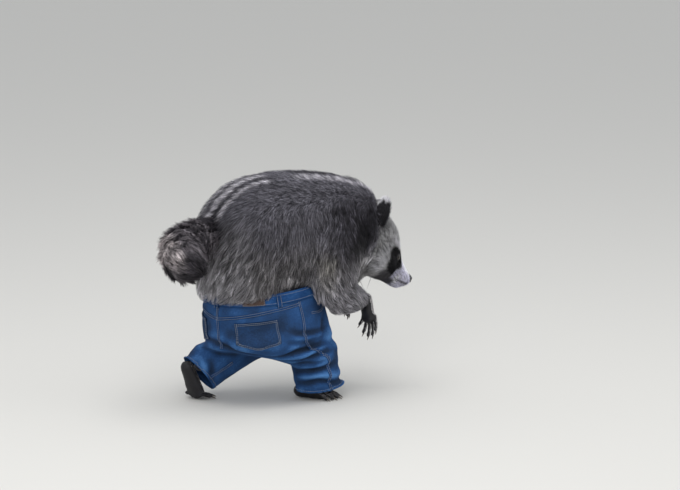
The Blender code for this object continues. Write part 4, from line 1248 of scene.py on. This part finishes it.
# How far a fold stands out, below 0 for a crease, its half width, and its line in the hips' frame.
FOLDS = (
    (-6, 5, (-60, -74, 80), (-42, -82, 85), (-19, -90, 93), (15, -80, 97), (46, -64, 101)),
    (3.5, 4.5, (-48, -74, 75), (-28, -82, 82), (0, -86, 86), (24, -82, 91), (50, -66, 96)),
    (-4.5, 4, (-19, -69, 73), (-2, -83, 79), (20, -82, 85), (48, -67, 89)),
    (3, 4.5, (-6, -66, 66), (12, -80, 72), (34, -80, 76), (56, -66, 80)),
    (-4, 4.5, (-14, -50, 66), (0, -71, 69), (17, -81, 75)),
    (-3.5, 4.5, (0, -38, 51), (15, -66, 54), (43, -74, 61), (60, -62, 66)),
    (2.6, 4.5, (2, -45, 60), (22, -74, 64), (50, -74, 70)),
    (3.6, 6, (5, -47, 42), (29, -71, 46), (61, -66, 44), (78, -46, 44)),
    (-4, 5, (7, -34, 27), (30, -68, 36), (65, -62, 29), (78, -44, 30)),
    (-4.5, 6, (-139, 12, 110), (-130, -40, 104), (-100, -60, 92), (-66, -70, 80)),
    (-3, 4.5, (-121, 17, 84), (-104, 2, 80), (-84, -2, 74)),
    (-3, 5, (-129, 13, 67), (-126, 14, 50), (-124, 16, 34)),
    (2.4, 6, (-146, 20, 74), (-138, 14, 62), (-132, 14, 48)),
    (-2.2, 8, (-115, -71, 128), (-87, -90, 128), (-52, -95, 136)),
    (2.6, 12, (-120, -62, 112), (-80, -90, 106), (-30, -93, 106)),
    (-2.6, 4.5, (-30, -94, 128), (-12, -90, 122), (26, -74, 121), (52, -50, 124)),
    (2.2, 4.5, (-30, -94, 118), (-8, -89, 114), (34, -70, 115)),
    (-2.8, 4.5, (-34, -94, 108), (-12, -90, 107), (37, -67, 109)),
    (-2, 5, (50, -50, 146), (40, -62, 132), (44, -62, 116)),
    (2, 5, (60, -30, 112), (52, -52, 104), (30, -72, 98)),
    (3.6, 15, (62, -58, 136), (71, -51, 112), (74, -44, 84)),
    # the far side and the front
    (-5, 6, (-70, 92, 96), (-40, 98, 88), (-10, 96, 92), (20, 86, 100)),
    (3, 5.5, (-60, 96, 84), (-30, 98, 78), (4, 90, 84)),
    (-3.6, 5, (-100, 84, 90), (-84, 92, 78), (-66, 92, 66)),
    (3, 5, (-124, 78, 72), (-112, 86, 62), (-100, 84, 50)),
    (-3, 4.5, (-118, 84, 82), (-106, 90, 72), (-90, 90, 58)),
    (1.6, 6, (72, 34, 104), (56, 8, 92), (30, -6, 84)),
    (-4, 6, (66, 44, 96), (40, 30, 84), (10, 22, 78)),
    (-1.6, 5, (60, 0, 64), (80, -26, 60), (82, -52, 64)),
    (1.4, 5.5, (58, 2, 44), (78, -20, 46), (84, -44, 48)),
    (-2.4, 5.5, (40, 84, 130), (10, 96, 124), (-30, 98, 128)),
    (2, 7, (30, 88, 112), (0, 96, 108), (-36, 98, 112)),
)


def line_points(corners, pitch=2.5):
    """Evenly spaced points on a smooth curve through the corners."""
    corners = [Vector(c) for c in corners]
    if len(corners) == 2:
        corners.insert(1, (corners[0] + corners[1]) / 2)
    padded = [corners[0] * 2 - corners[1], *corners, corners[-1] * 2 - corners[-2]]
    made = []
    for k in range(1, len(padded) - 2):
        a, b, c, d = padded[k - 1:k + 3]
        square, cube = 2 * a - 5 * b + 4 * c - d, 3 * b - a - 3 * c + d
        count = max(int((c - b).length / pitch), 1)
        for i in range(count):
            t = i / count
            made.append(0.5 * (2 * b + (c - a) * t + square * t ** 2 + cube * t ** 3))
    return made + [corners[-1]]


def ripple(b, scale, seed):
    """Smooth random waves over places in the hips' frame, about -1 to 1."""
    rng = np.random.default_rng(seed)
    total = np.zeros(len(b))
    for _ in range(7):
        way = rng.normal(0, 1, 3)
        way /= np.linalg.norm(way)
        total += np.sin(b @ way * math.tau / (scale * rng.uniform(0.7, 1.5)) + rng.uniform(0, math.tau))
    return total / 3.2


def folded(mesh):
    """Pushes the folds and creases into the cloth, and notes the cloth's tone: painted shade in the creases, painted
    light on the ridges, darker over the seat and a little uneven.
    """
    b, n = in_hips(coords(mesh)), coords(mesh, "normal")
    down, leg = (read(mesh.attributes[name].data, "value", 1)[:, 0] for name in ("down", "leg"))
    shift = np.zeros(len(b))
    cloth = surface_of(mesh, b)
    wobble = 1 + 0.25 * ripple(b, 26, 3)
    for height, half, *corners in FOLDS:
        where = np.array([cloth.find_nearest(dot)[0] for dot in line_points(corners, 3.0)])
        near, share = np.full(len(b), 1e9), np.zeros(len(b))
        for k, dot in enumerate(where):
            off = np.linalg.norm(b - dot, axis=1)
            closer = off < near
            near[closer] = off[closer]
            share[closer] = k / (len(where) - 1)
        ends = np.sin(np.pi * np.clip(share * 0.92 + 0.04, 0, 1)) ** 0.6
        shift += height * ends * np.exp(-(near / (half * wobble)) ** 2)
        shift -= 0.30 * height * ends * np.exp(-((near - 2.1 * half) / (half * 1.1)) ** 2)
    low = step(1.0, 1.25, down)
    shift += low * 1.1 * ripple(b * np.array([1, 1, 2.4]), 46, 11) * step(2.0, 1.9, down)
    shift += (1 - low) * 0.7 * ripple(b * np.array([1, 1, 1.8]), 62, 5) * step(0.1, 0.3, down)
    hem = step(1.90, 1.915, down)
    shift += 0.7 * hem + 0.35 * hem * np.sin((b @ np.array([0.9, 0.9, 0.5])) * 0.9)
    shift += 3.0 * step(1.93, 2.0, down) * (leg > 0) * step(60, 90, b[:, 0])  # the right hem flares in front
    write(mesh.vertices, "co", coords(mesh) + n * (shift * MM)[:, None])
    # painted shade in the creases and painted light on the ridges of the folds
    shade = np.where(shift < 0, shift * 0.085, np.minimum(shift, 4) * 0.075)
    # darker over the seat round the back pockets
    shade -= 0.16 * np.exp(-((b[:, 0] + 66) / 55) ** 2 - ((b[:, 2] - 122) / 22) ** 2)
    note(mesh, "wear", 0.8 * np.clip(0.5 + shade + 0.07 * ripple(b, 30, 9), 0, 1))
    mesh.update()
    mesh.shade_smooth()
    return mesh


# the trousers' sheet, with no thickness yet
CLOTH_MESH = folded(modified("jeans", trouser_cage(), ("SUBSURF", {"levels": 3, "render_levels": 3})))
CLOTH_TREE = surface_of(CLOTH_MESH, coords(CLOTH_MESH))
THREAD, SEAMS = bmesh.new(), bmesh.new()


def on_cloth(place, out=0.0):
    """The nearest place on the cloth to one in the hips' frame, in metres, and the cloth's normal there."""
    spot, normal, _, _ = CLOTH_TREE.find_nearest((Vector(place) + HIPS) * MM)
    return spot + normal * out * MM, normal


# ======== the jeans: seams and sewn pieces
def tube_path(places, out):
    """Points laid on the cloth under a line, with their normals."""
    spots = [on_cloth(p)[0] for p in line_points(places, 2.0)]
    for _ in range(3):
        spots = [spots[0]] + [(a + 2 * b + c) / 4 for a, b, c in zip(spots, spots[1:], spots[2:])] + [spots[-1]]
    laid = [on_cloth(spot / MM - HIPS, out) for spot in spots]
    return [spot for spot, _ in laid], [normal for _, normal in laid]


def ribbon(bm, places, half, height, out=0.0):
    """A raised strip along a line on the cloth, round-topped and tucked in at its edges."""
    spots, normals = tube_path(places, out)
    profile = ((-1, -0.6), (-0.9, 0.7), (-0.4, 1), (0.4, 1), (0.9, 0.7), (1, -0.6))
    rows = []
    for k, (spot, normal) in enumerate(zip(spots, normals)):
        along = (spots[min(k + 1, len(spots) - 1)] - spots[max(k - 1, 0)]).normalized()
        across = along.cross(normal).normalized()
        rows.append([spot + across * x * half * MM + normal * z * height * MM for x, z in profile])
    loft(bm, rows)


def stitches(places, asides, out):
    """Rows of topstitching beside a line: short plump threads end to end."""
    pitch, length, thick = 3.2, 2.3, 0.38 * MM
    spots, normals = tube_path(places, out)
    for aside in asides:
        walked, due = 0.0, pitch / 2
        for start, end, normal in zip(spots, spots[1:], normals):
            along = (end - start).normalized()
            across = along.cross(normal).normalized()
            gone = (end - start).length / MM
            while due <= walked + gone:
                middle = start + along * (due - walked) * MM + across * aside * MM
                ends = ((-0.5, 0.25), (-0.3, 0.9), (0.3, 0.9), (0.5, 0.25))
                rings = [ring(middle + along * t * length * MM, across, normal, thick, thick, 5, r) for t, r in ends]
                loft(THREAD, rings)
                due += pitch
            walked += gone


def seat_line(*stops, sign=1):
    """A line on the seat through places given as turn and level; sign -1 mirrors it."""
    return [seat_at(sign * turn, level) for turn, level in stops]


def panel(bm, place, out, thick, cells, pouch=0.0):
    """A sewn-on panel. place(a, b) is where it lies, a across and b down; its middle may stand out as a pouch."""
    weave = bm.loops.layers.uv.get("weave") or bm.loops.layers.uv.new("weave")
    wide, long = cells
    under, over = {}, {}
    for grid, top in ((under, False), (over, True)):
        for i in range(wide + 1):
            for j in range(long + 1):
                a, b = i / wide, j / long
                hump = pouch * (math.sin(math.pi * a) * math.sin(math.pi * b)) ** 0.7
                edge = min(a, 1 - a, b, 1 - b) * 2 * min(cells)
                height = out + (thick * min(1, 0.55 + 0.45 * edge) if top else -0.6) + hump
                grid[i, j] = bm.verts.new(on_cloth(place(a, b), height)[0])
    for i in range(wide):
        for j in range(long):
            square = ((i, j), (i + 1, j), (i + 1, j + 1), (i, j + 1))
            for grid, order in ((under, 1), (over, -1)):
                face = bm.faces.new([grid[corner] for corner in square[::order]])
                for loop, (u, v) in zip(face.loops, square[::order]):
                    loop[weave].uv = (u * 2.2 * MM, v * 1.4 * MM)
    border = [(i, 0) for i in range(wide)] + [(wide, j) for j in range(long)]
    border += [(i, long) for i in range(wide, 0, -1)] + [(0, j) for j in range(long, 0, -1)]
    for here, there in zip(border, border[1:] + border[:1]):
        bm.faces.new((under[here], over[here], over[there], under[there]))


def denim_material(name, worn=None):
    """Indigo cotton twill: slanting ribs with white weft between them, lighter on folds as painted light and darker in
    creases as painted shade.
    """
    made, tree, place = new_material(name, Roughness=0.9, Specular_IOR_Level=0.12)
    wear = add(tree, "ShaderNodeAttribute", attribute_name="wear").outputs["Fac"] if worn is None else worn
    # ribs are 0.6 mm apart on real denim; here 1.1 mm, so that they still show
    rib = math.tau / 20 / (1.1 * MM)
    cut = add(tree, "ShaderNodeUVMap", uv_map="weave").outputs[0]
    turned = add(tree, "ShaderNodeMapping", {"Vector": cut, "Rotation": (0, 0, 0.95)}).outputs[0]
    twill = {"Vector": turned, "Scale": rib, "Distortion": 1.0, "Detail": 2.0, "Detail Scale": 3.0}
    ribs = add(tree, "ShaderNodeTexWave", twill).outputs["Fac"]
    slubs, cloudy = (
        add(tree, "ShaderNodeTexNoise", {"Vector": place, "Scale": 1 / (size * MM), "Detail": detail}).outputs["Fac"]
        for size, detail in ((2.4, 3.0), (33, 4.0))
    )
    shade = add(tree, "ShaderNodeMath", {0: cloudy, 1: 0.30, 2: wear}, operation="MULTIPLY_ADD").outputs[0]
    shade = add(tree, "ShaderNodeMath", {0: slubs, 1: 0.24, 2: shade}, operation="MULTIPLY_ADD").outputs[0]
    stops = ((0.30, "#070F1E"), (0.54, "#132642"), (0.72, "#1E4271"), (0.98, "#4C7CB4"))
    dyed = add(tree, "ShaderNodeValToRGB", {"Fac": shade}, stops).outputs[0]
    weft = add(tree, "ShaderNodeMath", {0: ribs, 1: 0.11}, operation="MULTIPLY").outputs[0]
    woven = add(tree, "ShaderNodeMix", {0: weft, 6: dyed, 7: linear("#6C8DB8")}, data_type="RGBA").outputs[2]
    feed(tree, woven, add(tree, "ShaderNodeMath", {0: slubs, 1: 0.5, 2: ribs}, operation="MULTIPLY_ADD").outputs[0])
    return made


# waxed polyester thread, faded tan and a little shiny, with its twist
TOPSTITCHING = mottled(
    "topstitching thread", 17, 2.0, "#5F6F8C", "#A2A5A4", ("ShaderNodeTexWave", 2.5, "Fac", 0.4, 0.1), Roughness=0.5,
)
# vegetable-tanned leather, dark brown and made darker still as painted shade from the overhanging fur, with a fine
# grain
LEATHER = mottled(
    "tanned patch leather", 11, 4.0, "#20130E", "#472B1B",
    ("ShaderNodeTexVoronoi", 1.2, "Distance", 0.5, 0.2), Roughness=0.58,
)
# stamped brass, dulled in its low places
BRASS = mottled("dulled stamped brass", 3.3, 3.0, "#6E5B38", "#B39A63", Roughness=0.36, Metallic=1.0)


def sew_seams():
    """The felled seams of seat and legs, the mouths of the front pockets, the fly and the hems' stitching."""
    lines = [
        (seat_line((0, 0.14), (0, 0.4), (0, 0.7), (0, 1.0)), 3.2),
        (seat_line((0.5, 0.62), (0.5, 0.8), (0.5, 1.0)), 3.2),
    ]
    yoke, side_seam = ((0.0, 0.40), (0.07, 0.34), (0.14, 0.28), (0.25, 0.22)), ((0.25, 0.14), (0.25, 0.5), (0.25, 0.9))
    lines += [(seat_line(*yoke, sign=sign), 3.2) for sign in (1, -1)]
    for sign, side in ((1, "right"), (-1, "left")):
        leg = [leg_at(side, math.pi / 2, t) for t in (0.0, 0.3, 0.65, HEMS[side])]
        lines.append((seat_line(*side_seam, sign=sign) + leg, 3.2))
    for side, hem in HEMS.items():
        lines.append(([leg_at(side, math.pi * 1.5, t) for t in (0.05, 0.35, 0.7, hem)], 3.0))
    for line, half in lines:
        ribbon(SEAMS, line, half, 0.75)
        stitches(line, (-1.7, 1.7), 0.85)
    for sign in (1, -1):
        mouth = seat_line((0.28, 0.42), (0.33, 0.44), (0.385, 0.34), (0.41, 0.16), sign=sign)
        ribbon(SEAMS, mouth, 2.2, 0.7)
        stitches(mouth, (-1.2, 1.4), 0.8)
    stitches(seat_line((0.455, 0.16), (0.455, 0.45), (0.465, 0.6), (0.5, 0.68)), (0, 2.2), 0.4)
    ribbon(SEAMS, seat_line((0.5, 0.14), (0.5, 0.4), (0.5, 0.64)), 2.6, 0.9)
    for side, low in (("right", 0.80), ("left", 0.895)):
        hem = [leg_at(side, math.tau * k / 24, low) for k in range(25)]
        if side == "right":
            hem = [p + Vector((0, 0, max(p.x - 30, 0) * 0.10)) for p in hem]
        stitches(hem, (0,), 1.1)


def sew_waistband():
    """A rolled double band round the waist, a little uneven."""
    bm, rows, count = bmesh.new(), [], 192
    profile = (
        (0.02, -0.2), (-0.035, 0.2), (-0.045, 1.4), (-0.03, 2.3), (0.06, 2.5), (0.145, 2.3), (0.165, 1.3), (0.155, 0.0),
        (0.09, -0.3),
    )
    for i in range(count):
        turn = i / count
        sway = 0.6 * math.sin(turn * math.tau * 7) + 0.4 * math.sin(turn * math.tau * 13 + 1)
        row = []
        for level, out in profile:
            spot, normal = on_cloth(seat_at(turn, max(level, 0.004)), 0)
            row.append(spot + normal * (out + 0.25 + sway * 0.4) * MM + Vector((0, 0, max(-level, 0) * 93 * MM)))
        rows.append(row)
    loft(bm, rows, looped=True)
    for level in (0.0, 0.13):
        stitches([seat_at(k / 48, level) for k in range(49)], (0,), 3.1)
    return piece(bm, "waistband", denim_material("faded waistband denim", 0.44), "denim", "jeans_waistband")


def sew_loops(denim):
    """Five belt loops, each stitched down along both edges."""
    bm = bmesh.new()
    for turn in (0.0, 0.19, 0.38, 0.62, 0.81):
        line = [seat_at(turn, t) for t in (0.0, 0.05, 0.1, 0.15, 0.195)]
        ribbon(bm, line, 5.0, 1.7, 3.0)
        stitches(line, (-3.2, 3.2), 4.9)
    return piece(bm, "belt_loops", denim, "denim", *(f"belt_loop_{k}" for k in range(1, 6)))


def sew_patch():
    """The blank leather patch on the waistband."""
    bm = bmesh.new()
    panel(bm, lambda a, b: seat_at(0.085 + 0.065 * a, 0.145 * b), 2.8, 1.3, (22, 8))
    corners = ((0.088, 0.008), (0.147, 0.008), (0.147, 0.135), (0.088, 0.135), (0.088, 0.008))
    for (t0, l0), (t1, l1) in zip(corners, corners[1:]):
        stitches(seat_line((t0, l0), ((t0 + t1) / 2, (l0 + l1) / 2), (t1, l1)), (0,), 4.1)
    return piece(bm, "waist_patch_leather", LEATHER, "patch_leather", "waist_patch")


def sew_pockets():
    """Two back pockets with pointed bottoms, hemmed mouths and a double row of stitches."""
    bm = bmesh.new()
    edge = (
        (0.055, 0.47), (0.055, 0.655), (0.057, 0.84), (0.086, 0.885), (0.1165, 0.93), (0.147, 0.885), (0.176, 0.84),
        (0.178, 0.63), (0.178, 0.42),
    )
    for sign in (1, -1):
        def place(a, b):
            top, bottom = 0.47 - 0.05 * a, 0.84 + 0.09 * (1 - abs(2 * a - 1))
            return seat_at(sign * (0.055 + 0.123 * a), top + (bottom - top) * b)

        def mouth(level):
            return seat_line(*((0.055 + 0.123 * t, level - 0.05 * t) for t in (0, 0.25, 0.5, 0.75, 1)), sign=sign)

        panel(bm, place, 0.7, 1.0, (30, 28), 1.2)
        for in_by, out in ((1.6, 2.1), (4.4, 2.4)):
            stitches(seat_line(*edge, sign=sign), (-sign * in_by,), out)
        stitches(mouth(0.49), (0, -sign * 2.4), 2.6)
        ribbon(bm, mouth(0.475), 2.6, 0.9, 1.7)
    return piece(bm, "back_pockets", denim_material("deep pocket denim", 0.28), "denim", "pocket_right", "pocket_left")


def make_button():
    """A turned button with a raised rim and a hollow round its stud."""
    bm = bmesh.new()
    spot, normal = on_cloth(seat_at(0.49, 0.07), 2.9)
    turn = normal.to_track_quat("Z", "Y").to_matrix()
    profile = (
        (3.2, -0.5), (6.2, 0.1), (7.0, 0.7), (6.9, 1.3), (6.2, 1.7), (5.4, 1.45), (4.6, 1.2), (2.2, 1.35), (0.4, 1.5),
    )
    loft(bm, [[spot + turn @ Vector((c * r, s * r, high)) * MM for c, s in circle(40)] for r, high in profile])
    return piece(bm, "waist_button", BRASS, "brass", "button")


def dress_jeans():
    """Makes every piece of the jeans from the cloth and its seams."""
    denim, seam_denim = denim_material("indigo denim twill"), denim_material("rubbed denim seam", 0.37)
    CLOTH_MESH.materials.append(denim)
    thick = modified("jeans", CLOTH_MESH, ("SOLIDIFY", {"thickness": CLOTH * MM, "offset": -1}))
    cloth = new_object("jeans", thick, ("jeans_seat", "jeans_leg_right", "jeans_leg_left"))
    sew_seams()
    sewn = [sew_waistband(), sew_loops(seam_denim), sew_patch(), sew_pockets(), make_button()]
    sewn += [
        piece(SEAMS, "felled_seams", seam_denim, "denim"),
        piece(THREAD, "topstitching", TOPSTITCHING, "denim"),
    ]


dress_jeans()
